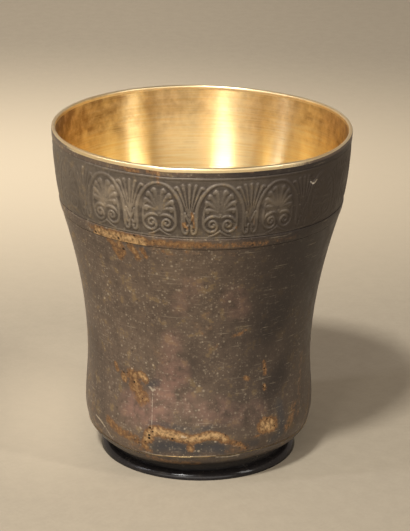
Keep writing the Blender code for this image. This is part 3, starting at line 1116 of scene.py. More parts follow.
    def material(self, effects: Effects) -> bpy.types.Material:
        """Builds the finish.

        The attributes rosy_and_sheen, smoky_and_reflection, rubbed_and_reflection, bare_and_glint,
        shade_and_tarnish and relief turn the tarnish towards their colours; besides tarnish and
        wear they paint shade, a sheen, reflections and glints. Worn places have ragged edges and
        dark pits, and scratches run round in part.

        Args:
            effects: The shared node groups.

        Returns:
            The material.
        """
        material, g, shader, place = start_material(self.name)
        blotch = g.group(effects.mottle, Vector=place).outputs
        fleck = blotch["Small"]
        field = {name: g.attribute(name) for name in TARNISH_AND_PAINTED_LIGHT_FIELDS}
        lively = g.less(1.0, g.times(field["shade_and_tarnish"], self.calm), clamp=True)
        uneven = g.step(blotch["Middle"], *self.uneven_range)
        let_stand = g.less(lively, g.times(field["rosy_and_sheen"], 0.5))
        dots, dust = self.strewn(g, effects, place, blotch, let_stand)
        fine = {"Per_mm": self.scratch_pitch, "Stretch": self.scratch_length}
        scratch = g.step(g.mask(effects.turning, Vector=place, **fine), *self.scratch_range)

        color = self.tarnish(g, effects, place, blotch)
        color = g.tint(color, self.deep, field["shade_and_tarnish"], self.shade_and_tarnish)
        color = g.tint(color, self.rosy_and_sheen, field["rosy_and_sheen"], uneven, self.rosy_share)
        color = g.tint(color, self.smoky_and_reflection, field["smoky_and_reflection"], self.smoky_share)
        if self.relief_contrast:
            low = g.less(1.0, g.step(field["relief"], *self.low_range))
            high = g.step(field["relief"], *self.high_range)
            color = g.tint(color, self.deep, low, self.relief_contrast)
            color = g.tint(color, self.speck, high, lively, self.relief_contrast / 2)
        color = g.tint(color, self.speck, dust, self.dusty, lively)
        color = g.tint(color, self.speck, dots, self.speck_depth, lively)
        color = g.tint(color, self.speck, scratch, uneven, self.dusty * self.scratched)

        worn = effects.tear(g, place, field["rubbed_and_reflection"], self.worn_edge)
        haze = g.times(g.step(field["rubbed_and_reflection"], 0.05, 0.9), g.step(fleck, *self.haze_range))
        patchy = g.blend(g.step(fleck, *self.patch_range), *self.patch_cover)
        cover = g.math("MAXIMUM", g.times(worn, patchy), haze)
        color = g.mix(cover, color, self.metal(g, effects, place, field["rubbed_and_reflection"], fleck))
        # Whitish painted glints, and metal worn bare, from the bare_and_glint attribute.
        broken = g.plus(field["bare_and_glint"], g.times(g.less(fleck, 0.5), 0.9))
        shine = g.times(g.step(broken, *self.bare_range), g.step(field["bare_and_glint"], 0.15, 0.55))
        color = g.tint(color, self.bare_and_glint, shine, self.bare_share)

        clean = g.math("MAXIMUM", worn, shine)
        skin = g.plus(self.roughness, g.times(g.less(blotch["Middle"], 0.5), self.drift))
        g.feed(shader["Base Color"], color)
        g.feed(shader["Metallic"], g.blend(clean, self.metal_share, self.worn_metal))
        g.feed(shader["Roughness"], g.blend(clean, skin, self.worn_roughness))
        shader["Specular IOR Level"].default_value = self.gloss
        height = g.plus(g.times(blotch["Fine"], 0.6), g.times(dots, 0.9))
        g.bump(shader, g.less(height, g.times(worn, 0.8)), self.skin, self.skin_reach)
        return material


@dataclass(frozen=True)
class GiltSilver:
    """Gilding with fine lines round it, a little stained where it was never polished."""

    name: str
    gold: Colour = (0.91, 0.67, 0.29, 1)
    pale: Colour = (0.97, 0.82, 0.48, 1)
    stain: Colour = (0.50, 0.31, 0.13, 1)
    tarnish: Colour = (0.085, 0.060, 0.044, 1)
    roughness: float = 0.275
    dull_roughness: float = 0.12
    dirt_roughness: float = 0.46
    brushed: float = 0.98
    brushed_round: float = 0.25
    lines: float = 0.25
    line_reach: float = 0.05
    stained: float = 0.24
    fine_lines: Span = (7.0, 3.0)
    broad_lines: Span = (2.4, 2.0)
    pale_range: Span = (0.22, 0.78)
    streak_range: Span = (0.50, 0.66)
    patch_range: Span = (0.36, 0.66)
    cloud_range: Span = (0.12, 0.84)
    dirt_edge: Span = (0.9, 0.5)

    def material(self, effects: Effects) -> bpy.types.Material:
        """Builds the finish.

        The gold runs from its own colour to a paler one along the lines. The attribute stain turns
        it browner in clouds, and the attribute grime covers it with tarnish. The brushing runs
        round the axis, so that a light draws an upright streak.

        Args:
            effects: The shared node groups.

        Returns:
            The material.
        """
        material, g, shader, place = start_material(self.name)
        fine, broad = self.fine_lines, self.broad_lines
        lines = g.group(effects.turning, Vector=place, Per_mm=fine[0], Stretch=fine[1]).outputs
        wide = g.mask(effects.turning, Vector=place, Per_mm=broad[0], Stretch=broad[1])
        blotch = g.group(effects.mottle, Vector=place).outputs["Middle"]
        patches = g.step(blotch, *self.patch_range)
        streak = g.times(g.step(wide, *self.streak_range), patches, self.stained)
        cloud = g.times(g.attribute("stain"), g.step(blotch, *self.cloud_range))
        dull = g.plus(streak, cloud, clamp=True)
        grime_and_recess_shade = effects.tear(g, place, g.attribute("grime"), self.dirt_edge)
        color = g.mix(g.step(lines["Tone"], *self.pale_range), self.gold, self.pale)
        color = g.mix(grime_and_recess_shade, g.mix(dull, color, self.stain), self.tarnish)
        rough = g.plus(self.roughness, g.times(dull, self.dull_roughness))
        g.feed(shader["Base Color"], color)
        g.feed(shader["Metallic"], g.less(1.0, grime_and_recess_shade))
        g.feed(shader["Roughness"], g.blend(grime_and_recess_shade, rough, self.dirt_roughness))
        shader["Anisotropic"].default_value = self.brushed
        shader["Anisotropic Rotation"].default_value = self.brushed_round
        g.bump(shader, g.plus(lines["Height"], g.times(wide, 0.8)), self.lines, self.line_reach)
        return material


@dataclass(frozen=True)
class Finishes:
    """The materials of the beaker's pieces."""

    wall: bpy.types.Material
    frieze: bpy.types.Material
    fillet: bpy.types.Material
    foot: bpy.types.Material
    inside: bpy.types.Material
    lip: bpy.types.Material

    @classmethod
    def build(cls) -> Finishes:
        """Builds each finish once.

        Returns:
            The finishes.
        """
        finishes = (
            TarnishedSilver("tarnished_wall"),
            TarnishedSilver(
                "tarnished_frieze", deep=(0.048, 0.038, 0.032, 1), plain=(0.228, 0.190, 0.145, 1),
                rosy_and_sheen=(0.350, 0.285, 0.205, 1), speck=(0.42, 0.36, 0.27, 1), roughness=0.52,
                speck_share=0.25, olive_share=0.30, dusty=0.25, relief_contrast=0.20,
            ),
            TarnishedSilver("tarnished_fillet", speck_share=0.5),
            TarnishedSilver(
                # Near-black colours paint the shade under the belly over the foot's dark tarnish.
                "foot_tarnish_and_shade", deep=(0.006, 0.005, 0.005, 1), plain=(0.016, 0.013, 0.012, 1),
                smoky_and_reflection=(0.008, 0.008, 0.009, 1), roughness=0.22, metal_share=0.0, gloss=0.26,
                speck_share=0.03, olive_share=0.03, dusty=0.03,
            ),
            GiltSilver("gilt_inside"),
            GiltSilver(
                "gilt_lip", gold=(0.94, 0.74, 0.41, 1), pale=(0.98, 0.86, 0.58, 1),
                roughness=0.36, brushed=0.3, lines=0.12, stained=0.3,
            ),
        )
        effects = Effects.build()
        return cls(*(finish.material(effects) for finish in finishes))


# The pieces


@dataclass(frozen=True)
class Wall:
    """The raised wall: tarnished outside, gilt inside, swaged where the frieze is let in."""

    outline: Outline
    handling: Handling
    foot_height: float
    strip_low: float
    strip_high: float
    lip_seat: float
    sheet: float = 0.0006
    channel_depth: float = 0.00042
    caulked: float = 0.00125
    lip_width: float = 0.0010
    taper: float = 0.0200
    edge_round: float = 0.00022
    stain_floor: float = 0.04
    stain_round: float = 0.64
    stain_waver: float = 0.12
    stain_sides: tuple[tuple[float, float, float], ...] = ((-112, 40, 0.66), (108, 34, 0.34))
    stain_rise: Span = (0.068, 0.084)
    columns: int = 448
    corner_rows: int = 4
    outer_rows: int = 150
    channel_rows: int = 10
    neck_rows: int = 5
    inner_rows: int = 44

    def stained(self, at: Places) -> np.ndarray:
        """How brown the gilding has gone.

        It is brown under the lip and hardly at all below. Two bells round the beaker, each with its
        middle, its half arc and its strength, make its sides browner still.

        Args:
            at: Places on the wall.

        Returns:
            The stain, shaped as the places.
        """
        waves = slow_waves(at.azimuth, at.height, Wave.STAIN_INSIDE)
        amount = self.stain_round + self.stain_waver * waves
        for middle, half_arc, strength in self.stain_sides:
            across = angle_between(at.azimuth, middle) / half_arc
            amount = amount + strength * np.exp(-(across**2))
        return self.stain_floor + amount * ease(at.height, *self.stain_rise)

    def outer_face(self) -> np.ndarray:
        """The outer face, from its rounded foot up, with the channel that the frieze lies in.

        Returns:
            Outline points, (radius, height) each.
        """
        start = self.foot_height + self.edge_round
        angle = np.linspace(-math.pi / 2, 0, self.corner_rows)[:-1]
        turned = self.edge_round * np.stack([np.cos(angle) - 1, np.sin(angle) + 1], -1)
        face = self.outline.face
        return np.vstack(
            [
                turned + np.array([float(self.outline.radius(start)), self.foot_height]),
                face(start, self.strip_low, self.outer_rows),
                face(self.strip_low, self.strip_high, self.channel_rows, -self.channel_depth),
                face(self.strip_high, self.lip_seat, self.neck_rows),
            ]
        )

    def inner_face(self) -> np.ndarray:
        """The inner face, from the lip down.

        The wall is the sheet's thickness below, thickens smoothly to its caulked thickness behind
        the frieze's lower edge, and eases to the lip's width above.

        Returns:
            Outline points, (radius, height) each.
        """
        height = np.linspace(self.lip_seat, self.foot_height, self.inner_rows)
        caulk = ease(height, self.strip_low - self.taper, self.strip_low)
        thick = self.sheet + (self.caulked - self.sheet) * caulk
        thick += (self.lip_width - self.caulked) * ease(height, self.strip_low, self.lip_seat)
        return self.outline.face(self.lip_seat, self.foot_height, self.inner_rows, -thick)

    def build(self, finishes: Finishes) -> bpy.types.Object:
        """Turns the wall's closed outline and draws its marks.

        Args:
            finishes: The materials.

        Returns:
            The wall.
        """
        outer = self.outer_face()
        outline = np.vstack([outer, self.inner_face()])
        points, faces, at = revolve(outline, self.columns)
        on_outside = np.arange(len(outline)) < len(outer)
        drawn = {"rubbed_and_reflection": RUBBED_AND_REFLECTION_WALL, "rosy_and_sheen": ROSY_AND_SHEEN_WALL, "smoky_and_reflection": SMOKY_AND_REFLECTION_WALL, "bare_and_glint": BARE_AND_GLINT_WALL}
        fields = {name: at.marked(marks) * on_outside for name, marks in drawn.items()}
        fields |= {"shade_and_tarnish": shade_and_tarnish_field(at), "stain": self.stained(at)}
        row = np.tile(np.arange(len(outline)), self.columns)
        inside = (row >= len(outer) - 1) & (row < len(outline) - 1)
        return Piece(
            "wall", "body_wall", Slot.TARNISHED, self.handling.bend(points), (faces,), fields,
            (finishes.wall, finishes.inside), inside,
        ).place()


@dataclass(frozen=True)
class LipWire:
    """The gilt lip wire: flat below and half round above."""

    handling: Handling
    radius: float
    low: float
    high: float
    width: float = 0.0010
    clean_middle: float = -10.0
    clean_arc: Span = (24, 84)
    grime_least: float = 0.2
    grime_rubbed: float = 0.7
    grime_start: float = -0.20
    grime_reach: float = 0.60
    worn_reach: float = 0.25
    away_reach: float = 0.50
    stain: float = 0.25
    columns: int = 512
    round_steps: int = 14
    side_steps: int = 4

    def build(self, finishes: Finishes) -> bpy.types.Object:
        """Turns the wire's closed outline.

        Grime lies low on its outer side. It climbs higher away from the front, and is missing where
        the wire is worn.

        Args:
            finishes: The materials.

        Returns:
            The lip wire.
        """
        half = self.width / 2
        shoulder = self.high - half
        side = np.linspace(self.low, shoulder, self.side_steps)[:-1]
        sweep = np.linspace(0, math.pi, self.round_steps)
        bead = np.array([self.radius - half, shoulder])
        outline = np.vstack(
            [
                upright(self.radius, side),
                bead + half * np.stack([np.cos(sweep), np.sin(sweep)], -1),
                upright(self.radius - self.width, side[::-1]),
            ]
        )
        points, faces, at = revolve(outline, self.columns)
        outer = ease(at.radius, self.radius - half, self.radius)
        worn = 0.5 + 0.5 * slow_waves(at.azimuth, at.height * 0, Wave.LIP)
        away = ease(np.abs(angle_between(at.azimuth, self.clean_middle)), *self.clean_arc)
        reach = self.grime_reach - self.worn_reach * worn + self.away_reach * away
        low = 1 - ease(at.height, shoulder + self.grime_start * half, shoulder + reach * half)
        kept = 1 - self.grime_rubbed * at.marked(RUBBED_LIP)
        share = self.grime_least + (1 - self.grime_least) * away
        fields = {"stain": self.stain * worn, "grime": outer * low * kept * share}
        return Piece(
            "lip", "lip_wire", Slot.GILT, self.handling.bend(points), (faces,), fields,
            (finishes.lip,),
        ).place()


@dataclass(frozen=True)
class Palmette:
    """One repeat of the frieze, drawn in millimetres.

    The palmette stands in an arch whose foot curls in under a sheaf of ribs. Across is counted from
    the palmette's middle, up from the strip's lower edge, and both sides are drawn the same.
    """

    half_pitch: float = 7.33
    height: float = 15.6
    leaf_middle: float = 8.6
    leaf_halves: Span = (3.1, 3.9)
    leaf_height: float = 0.45
    leaf_power: float = 0.8
    borders: tuple[tuple[float, float, float], ...] = ((15.22, 0.34, 0.55), (0.16, 0.26, 0.40))
    petal_turns: tuple[float, ...] = (20.0, 48.0, 76.0, 104.0)
    heart: tuple[float, float] = (0.22, 6.9)
    petal_steps: int = 60
    bow_share: float = 0.55
    petal_bow: float = 0.24
    petal_curl: float = 0.5
    curl_turn: float = 0.25
    egg_middle: float = 8.3
    egg_width: float = 3.3
    egg_height: float = 3.85
    volute_middle: tuple[float, float] = (1.8, 3.72)
    volute_radii: tuple[float, ...] = (2.2, 1.88, 0.97, 0.92, 0.84, 0.60, 0.28)
    volute_steps: int = 140

    def relief(self, across: np.ndarray, up: np.ndarray) -> np.ndarray:
        """Height of the relief at some places, from 0 on the ground to 1.

        It is the highest of the leaf's dome and of all the rounded ridges at each place.

        Args:
            across: Millimetres from the palmette's middle.
            up: Millimetres above the strip's lower edge.

        Returns:
            The relief, shaped as the places.
        """
        u = np.abs(across)
        wide, tall = self.leaf_halves
        dome = np.clip(1 - (u / wide) ** 2 - ((up - self.leaf_middle) / tall) ** 2, 0, 1)
        found = [self.leaf_height * dome**self.leaf_power]
        for side, ridges in (
            (u, self.palmette_ridges()), (self.half_pitch - u, self.sheaf_ridges())
        ):
            found += [ridge(side, up, *each) for each in ridges]
        for middle, half, height in self.borders:
            found.append(height * np.sqrt(np.clip(1 - ((up - middle) / half) ** 2, 0, 1)))
        return np.max(found, axis=0)

    def petal(self, turned: float) -> np.ndarray:
        """A petal's line: from the heart out to the egg-shaped edge, with its tip curling down.

        Args:
            turned: The petal's angle from upright, in degrees.

        Returns:
            Its points.
        """
        angle = math.radians(turned)
        out = self.egg_width * math.sin(angle)
        tip = np.array([out, self.egg_middle + self.egg_height * math.cos(angle)])
        root = np.array(self.heart)
        way = tip - root
        across = np.array([-way[1], way[0]]) / np.hypot(*way)
        curl = np.array([math.cos(angle + self.curl_turn), -math.sin(angle + self.curl_turn)])
        bow = root + self.bow_share * way + self.petal_bow * across
        end = tip + self.petal_curl * curl + 0.02 * way
        return smooth_path([root, bow, tip - 0.1 * curl, end], self.petal_steps)

    def volute(self) -> np.ndarray:
        """The scroll: a spiral whose radius is given each quarter turn and is smooth between.

        Returns:
            Its points.
        """
        quarter = math.pi / 2 * np.arange(1, 1 + len(self.volute_radii))
        angle = np.linspace(quarter[0], quarter[-1], self.volute_steps)
        corners = np.stack([quarter, self.volute_radii], -1)
        radius = smooth_path(corners, self.volute_steps)[:, 1]
        way = np.stack([np.sin(angle), np.cos(angle)], -1)
        return self.volute_middle + radius[:, None] * way

    def palmette_ridges(self) -> list[Ridge]:
        """The palmette's ridges: its petals, and the scrolls, arcs and arch round it.

        Returns:
            A path, its half widths and its heights for each ridge.
        """
        volute = self.volute()
        edge = [(3.3, 9.1), (3.75, 7.7), (3.98, 6.0), (4.02, 4.6), tuple(volute[0])]
        scroll = np.vstack([smooth_path(edge, 60)[:-1], volute])
        arc = smooth_path([(0.3, 5.55), (1.1, 5.85), (2.1, 5.8), (3.1, 5.25), (3.85, 4.3)], 60)
        arch = smooth_path(
            [
                (0.0, 13.9), (1.2, 13.75), (2.3, 13.2), (3.3, 12.3), (4.25, 11.0), (5.0, 9.5),
                (5.45, 8.0), (5.62, 6.6), (5.64, 5.0), (5.6, 3.4), (5.7, 2.1), (6.1, 1.35),
                (6.62, 1.4), (6.85, 2.0),
            ],
            260,
        )
        swag = smooth_path([(0.0, 1.95), (0.85, 1.4), (1.8, 0.85), (2.7, 0.62)], 50)
        petals = [
            (self.petal(turned), (0.16, 0.34, 0.58, 0.46), (0.45, 0.62, 1.0, 0.8))
            for turned in self.petal_turns
        ]
        return petals + [
            (np.array([[0.0, 6.15]]), (0.5,), (0.75,)),
            (
                scroll,
                (0.26, 0.38, 0.38, 0.36, 0.34, 0.34, 0.36),
                (0.6, 0.85, 0.9, 0.9, 0.9, 0.85, 0.85),
            ),
            (arc, (0.28, 0.44, 0.42, 0.3), (0.8, 0.95, 0.9, 0.8)),
            (
                arch,
                (0.32, 0.42, 0.48, 0.46, 0.40, 0.36, 0.34),
                (0.6, 0.85, 0.9, 0.95, 0.9, 0.9, 0.9),
            ),
            (np.array([[6.8, 2.15]]), (0.42,), (0.95,)),
            (swag, (0.32, 0.30, 0.22), (0.75, 0.7, 0.45)),
        ]

    def sheaf_ridges(self) -> list[Ridge]:
        """The sheaf's ribs, calyx and bud, with across counted from the sheaf's middle.

        Returns:
            A path, its half widths and its heights for each ridge.
        """
        middle = [(0.0, 4.6), (0.0, 9.0), (0.0, 13.6)]
        inner = [(0.3, 5.9), (0.5, 8.0), (0.85, 10.3), (1.15, 12.0), (1.5, 13.5)]
        outer = [(0.7, 6.9), (1.1, 8.6), (1.75, 10.5), (2.35, 12.1), (2.85, 12.95), (3.35, 12.85)]
        calyx = [(0.0, 4.15), (0.45, 5.1), (1.05, 6.55)]
        bud = [(0.12, 3.7), (0.5, 3.1), (0.42, 2.5)]
        side = [(1.12, 6.2), (1.2, 4.6), (1.08, 3.1)]
        ridges = (
            (middle, 80, (0.18, 0.24, 0.32, 0.46), (0.6, 0.8, 0.9, 0.8)),
            (inner, 80, (0.15, 0.22, 0.30, 0.46), (0.6, 0.8, 0.9, 0.8)),
            (outer, 100, (0.15, 0.24, 0.32, 0.42, 0.40), (0.6, 0.8, 0.9, 0.95, 0.8)),
            (calyx, 50, (0.32, 0.32, 0.34), (0.9, 0.9, 0.85)),
            (bud, 30, (0.22, 0.36, 0.28), (0.6, 0.8, 0.7)),
            (side, 30, (0.24, 0.36, 0.36), (0.6, 0.78, 0.7)),
        )
        return [(smooth_path(path, count), *sizes) for path, count, *sizes in ridges]


def ridge(u: np.ndarray, v: np.ndarray, path: np.ndarray, widths: Row, heights: Row) -> np.ndarray:
    """A rounded ridge along a path.

    At each place it is the highest, over the path's points, of the point's height times the root of
    one less the squared share of its half width that the place lies away.

    Args:
        u: Places across.
        v: Places up.
        path: The ridge's line.
        widths: Half widths, spread evenly along it.
        heights: Heights, spread evenly along it.

    Returns:
        The ridge's height, shaped as the places.
    """
    half = along(path, widths)
    squared = (u[..., None] - path[:, 0]) ** 2 + (v[..., None] - path[:, 1]) ** 2
    return (along(path, heights) * np.sqrt(np.clip(1 - squared / half**2, 0, 1))).max(-1)


def softened(grid: np.ndarray, reach: int) -> np.ndarray:
    """The grid's mean over a square window, its edges held.

    Args:
        grid: Values, rows by columns.
        reach: How many cells the window reaches each way.

    Returns:
        The means, shaped as the grid.
    """
    for axis in (0, 1):
        padding = [(reach, reach) if way == axis else (0, 0) for way in (0, 1)]
        padded = np.pad(grid, padding, mode="edge")
        grid = np.lib.stride_tricks.sliding_window_view(padded, 2 * reach + 1, axis).mean(-1)
    return grid


@dataclass(frozen=True)
class Frieze:
    """The rolled frieze strip, in a front and a back length."""

    outline: Outline
    handling: Handling
    palmette: Palmette
    low: float
    high: float
    repeats: int = 16
    first_azimuth: float = 7.0
    drift: float = 1.15
    drift_turn: float = 5.0
    ground: float = -0.00010
    relief: float = 0.00034
    uneven: float = 0.10
    side_wear: float = 0.76
    side_start: Span = (24.0, 64.0)
    side_end: Span = (84.0, 108.0)
    rubbed_low: float = 0.35
    recess_reach: int = 8
    recess_gain: float = 2.6
    recess_shade: float = 0.74
    sheet: float = 0.00038
    rows: int = 100
    inner_rows: int = 12
    columns_per_repeat: int = 96

    def drawn(self, azimuth: np.ndarray, height: np.ndarray) -> np.ndarray:
        """The palmettes' relief over a stretch of the strip.

        The pattern repeats with an even pitch, and drifts a little round as the strip was fitted.

        Args:
            azimuth: The angles of its columns.
            height: The heights of its rows.

        Returns:
            The relief, columns by rows.
        """
        pitch = 360.0 / self.repeats
        drifted = azimuth - self.drift * np.sin(np.radians(azimuth + self.drift_turn))
        turned = angle_between(drifted - self.first_azimuth, 0.0)
        across = (turned + pitch / 2) % pitch - pitch / 2
        across = across / (pitch / 2) * self.palmette.half_pitch
        up = (height - self.low) / (self.high - self.low) * self.palmette.height
        return self.palmette.relief(*np.meshgrid(across, up, indexing="ij"))

    def half(self, name: str, start: float, material: bpy.types.Material) -> bpy.types.Object:
        """Builds half a turn of the strip.

        The outer face lies at the wall's radius, plus the ground's offset, plus the relief, and the
        inner face at a plain offset behind it. One flat face closes each end.

        Args:
            name: The piece's name.
            start: The azimuth at which it starts.
            material: The frieze's material.

        Returns:
            The half strip.
        """
        columns = self.columns_per_repeat * self.repeats // 2 + 1
        azimuth = azimuths(columns, start, 180.0)
        height = np.linspace(self.low, self.high, self.rows)
        relief = self.drawn(azimuth, height)
        # Painted shade in the ground beside the ridges: how far the softened relief stands above
        # the relief here.
        recess = np.clip(self.recess_gain * (softened(relief, self.recess_reach) - relief), 0, 1)
        az, z = np.meshgrid(azimuth, height, indexing="ij")
        away = np.abs(angle_between(az, 0.0))
        kept = 1 - self.side_wear * (ease(away, *self.side_start) - ease(away, *self.side_end))
        worn = (1 - self.uneven + self.uneven * slow_waves(az, z, Wave.FRIEZE)) * kept
        lift = self.ground + self.relief * relief * worn
        outer = np.stack([self.outline.radius(z) + lift, z], -1)
        inner = self.outline.face(self.high, self.low, self.inner_rows, -self.sheet)
        points = turn(np.concatenate([outer, np.repeat(inner[None], columns, 0)], 1), azimuth)
        rows = self.rows + self.inner_rows
        end = np.arange(rows)
        ends = np.stack([end, end[::-1] + (columns - 1) * rows])
        at = Places.of(points)
        plain = np.zeros((columns, self.inner_rows))
        raised = np.concatenate([relief * worn, plain], 1)
        # The painted recess shade goes in as deep tone, weaker where the sides are worn.
        grime_and_recess_shade = np.concatenate([self.recess_shade * recess * kept, plain], 1)
        rubbed_and_reflection = self.rubbed_low + (1 - self.rubbed_low) * raised
        fields = {
            "relief": raised,
            "rubbed_and_reflection": at.marked(RUBBED_FRIEZE) * rubbed_and_reflection,
            "rosy_and_sheen": at.marked(PALE_AND_SHEEN_FRIEZE),
            "shade_and_tarnish": np.maximum(shade_and_tarnish_field(at), grime_and_recess_shade),
            "bare_and_glint": at.marked(BARE_FRIEZE),
        }
        return Piece(
            name, "frieze_strip", Slot.TARNISHED, self.handling.bend(points),
            (ring_quads(columns, rows, closed_round=False), ends), fields, (material,),
            sharp_angle=75.0,
        ).place()

    def build(self, finishes: Finishes) -> list[bpy.types.Object]:
        """Builds the front and the back length.

        Args:
            finishes: The materials.

        Returns:
            The two lengths.
        """
        lengths = {"frieze_front": -90.0, "frieze_back": 90.0}
        return [self.half(name, start, finishes.frieze) for name, start in lengths.items()]


@dataclass(frozen=True)
class Fillet:
    """The fillet wire under the frieze: flat behind, softly crowned between two fine edges."""

    outline: Outline
    handling: Handling
    low: float
    high: float
    crown: float = 0.00022
    fullness: float = 0.25
    sheet: float = 0.00038
    rows: int = 22
    columns: int = 640

    def build(self, finishes: Finishes) -> bpy.types.Object:
        """Turns the fillet.

        Its crown rises as the root of one less the squared way from its middle, a little fuller
        towards the edges.

        Args:
            finishes: The materials.

        Returns:
            The fillet.
        """
        squared = np.linspace(-1, 1, self.rows) ** 2
        full = 1 - self.fullness + self.fullness * squared
        lift = self.crown * np.sqrt(1 - squared) * full
        face = self.outline.face
        outer = face(self.low, self.high, self.rows, lift)
        inner = face(self.high, self.low, self.rows, -self.sheet)
        points, faces, at = revolve(np.vstack([outer, inner]), self.columns)
        fields = {"rubbed_and_reflection": at.marked(RUBBED_FILLET), "shade_and_tarnish": shade_and_tarnish_field(at)}
        return Piece(
            "fillet", "fillet_wire", Slot.WORN, self.handling.bend(points), (faces,), fields,
            (finishes.fillet,),
        ).place()


@dataclass(frozen=True)
class BasePan:
    """The base pan: a flat floor with a turned-up edge, gilt above and tarnished below."""

    outline: Outline
    handling: Handling
    low: float
    high: float
    flat_radius: float = 0.0240
    knee_radius: float = 0.0272
    knee_rise: float = 0.0013
    sheet: float = 0.0008
    smoky_and_reflection: float = 0.3
    edge_shade: float = 0.35
    clear_edge: Span = (0.0030, 0.0010)
    stain: float = 0.35
    stain_waver: float = 0.25
    innermost: float = 0.0004
    turn_rows: int = 22
    flat_rows: int = 26
    columns: int = 320

    def turned_edge(self, flat: float, edge: float, low: float, high: float) -> np.ndarray:
        """The turned-up edge: the quadratic curve from the flat to the edge by way of a knee.

        Args:
            flat: The radius where the flat ends.
            edge: The radius of the upright edge.
            low: The flat's height.
            high: The height of the edge's top.

        Returns:
            Outline points, (radius, height) each.
        """
        seam = self.outline.seam_radius
        out = (self.knee_radius - self.flat_radius) / (seam - self.flat_radius)
        up = self.knee_rise / (self.high - self.low)
        t = np.linspace(0, 1, self.turn_rows)[:, None]
        corners = np.array(
            [(flat, low), (flat + out * (edge - flat), low + up * (high - low)), (edge, high)]
        )
        return (1 - t) ** 2 * corners[0] + 2 * t * (1 - t) * corners[1] + t**2 * corners[2]

    def build(self, finishes: Finishes) -> bpy.types.Object:
        """Turns the pan's outline, from the axis below to the axis above, and closes both poles.

        Args:
            finishes: The materials.

        Returns:
            The pan.
        """
        seam = self.outline.seam_radius
        floor = self.low + self.sheet
        over_radius = self.flat_radius - self.sheet / 2
        near = np.linspace(self.innermost, 1, self.flat_rows)[:-1, None]
        flat_under = near * (self.flat_radius, 0) + (0, self.low)
        outline = np.vstack(
            [
                flat_under,
                self.turned_edge(self.flat_radius, seam, self.low, self.high),
                self.turned_edge(over_radius, seam - self.sheet, floor, self.high)[::-1],
                near[::-1] * (over_radius, 0) + (0, floor),
            ]
        )
        rows = len(outline)
        points, quads, _ = revolve(outline, self.columns)
        points = np.vstack(
            [self.handling.bend(points).reshape(-1, 3), [(0, 0, self.low), (0, 0, floor)]]
        )
        row = np.tile(np.arange(rows), self.columns)
        quads = quads[row < rows - 1]
        upper = row[row < rows - 1] >= len(flat_under) + self.turn_rows - 1
        column = np.arange(self.columns)
        after = (column + 1) % self.columns
        pole = np.full(self.columns, self.columns * rows)
        below = np.stack([pole, after * rows, column * rows], -1)
        above = np.stack([pole + 1, column * rows + rows - 1, after * rows + rows - 1], -1)
        at = Places.of(points)
        clear = ease(at.radius, *(seam - inset for inset in self.clear_edge))
        waves = slow_waves(at.azimuth, at.radius, Wave.STAIN_PAN)
        fields = {
            "rubbed_and_reflection": at.marked(RUBBED_PAN),
            "smoky_and_reflection": self.smoky_and_reflection,
            # Painted shade under the beaker: the pan takes the deep tone in full away from its
            # edge, and edge_shade of it at the edge.
            "shade_and_tarnish": self.edge_shade + (1 - self.edge_shade) * (1 - clear),
            "bare_and_glint": at.marked(BARE_PAN),
            "stain": self.stain + self.stain_waver * waves,
        }
        face_material = np.concatenate([upper, np.zeros(self.columns), np.ones(self.columns)])
        return Piece(
            "base_pan_dressed", "base_pan", Slot.TARNISHED, points, (quads, below, above), fields,
            (finishes.wall, finishes.inside), face_material,
        ).place()


@dataclass(frozen=True)
class FootRing:
    """The foot ring: an upright collar over a rounded bead that stands on the table."""

    handling: Handling
    high: float
    collar_radius: float = 0.0231
    bead_reach: float = 0.0024
    bore_radius: float = 0.0219
    bead_height: float = 0.0019
    squareness: float = 0.75
    crest: Span = (0.0012, 0.0008)
    rubbed_and_reflection: float = 0.04
    smoky_and_reflection: float = 0.5
    bead_steps: int = 18
    side_steps: int = 6
    columns: int = 384

    def build(self, finishes: Finishes) -> bpy.types.Object:
        """Turns the ring.

        Its bead is a quarter round, squared a little, from the table to the collar. At angle t it
        reaches out by the cosine of t to the power of its squareness, and up by the sine of t.

        Args:
            finishes: The materials.

        Returns:
            The foot ring.
        """
        angle = np.linspace(0, math.pi / 2, self.bead_steps)
        reach = self.bead_reach * np.clip(np.cos(angle), 0, 1) ** self.squareness
        collar = np.linspace(self.bead_height, self.high, self.side_steps)[1:]
        outline = np.vstack(
            [
                np.stack([self.collar_radius + reach, self.bead_height * np.sin(angle)], -1),
                upright(self.collar_radius, collar),
                upright(self.bore_radius, np.linspace(self.high, 0.0, 2 * self.side_steps)),
            ]
        )
        points, faces, at = revolve(outline, self.columns)
        outer = self.collar_radius + self.bead_reach
        crest = ease(at.radius, *(outer - inset for inset in self.crest))
        uneven = 0.8 + 0.5 * slow_waves(at.azimuth, at.height, Wave.FOOT)
        fields = {"rubbed_and_reflection": self.rubbed_and_reflection * crest * uneven, "smoky_and_reflection": self.smoky_and_reflection}
        return Piece(
            "foot_ring_dressed", "foot_ring", Slot.TARNISHED, self.handling.bend(points), (faces,),
            fields, (finishes.foot,),
        ).place()


# The studio


def bearing(azimuth: float, elevation: float = 0.0) -> Vector:
    """The unit vector towards a bearing.

    Args:
        azimuth: The angle round the beaker.
        elevation: The angle up from level, in degrees.

    Returns:
        The vector.
    """
    turned, raised = math.radians(azimuth), math.radians(elevation)
    level = math.cos(raised)
    return Vector((math.sin(turned) * level, -math.cos(turned) * level, math.sin(raised)))


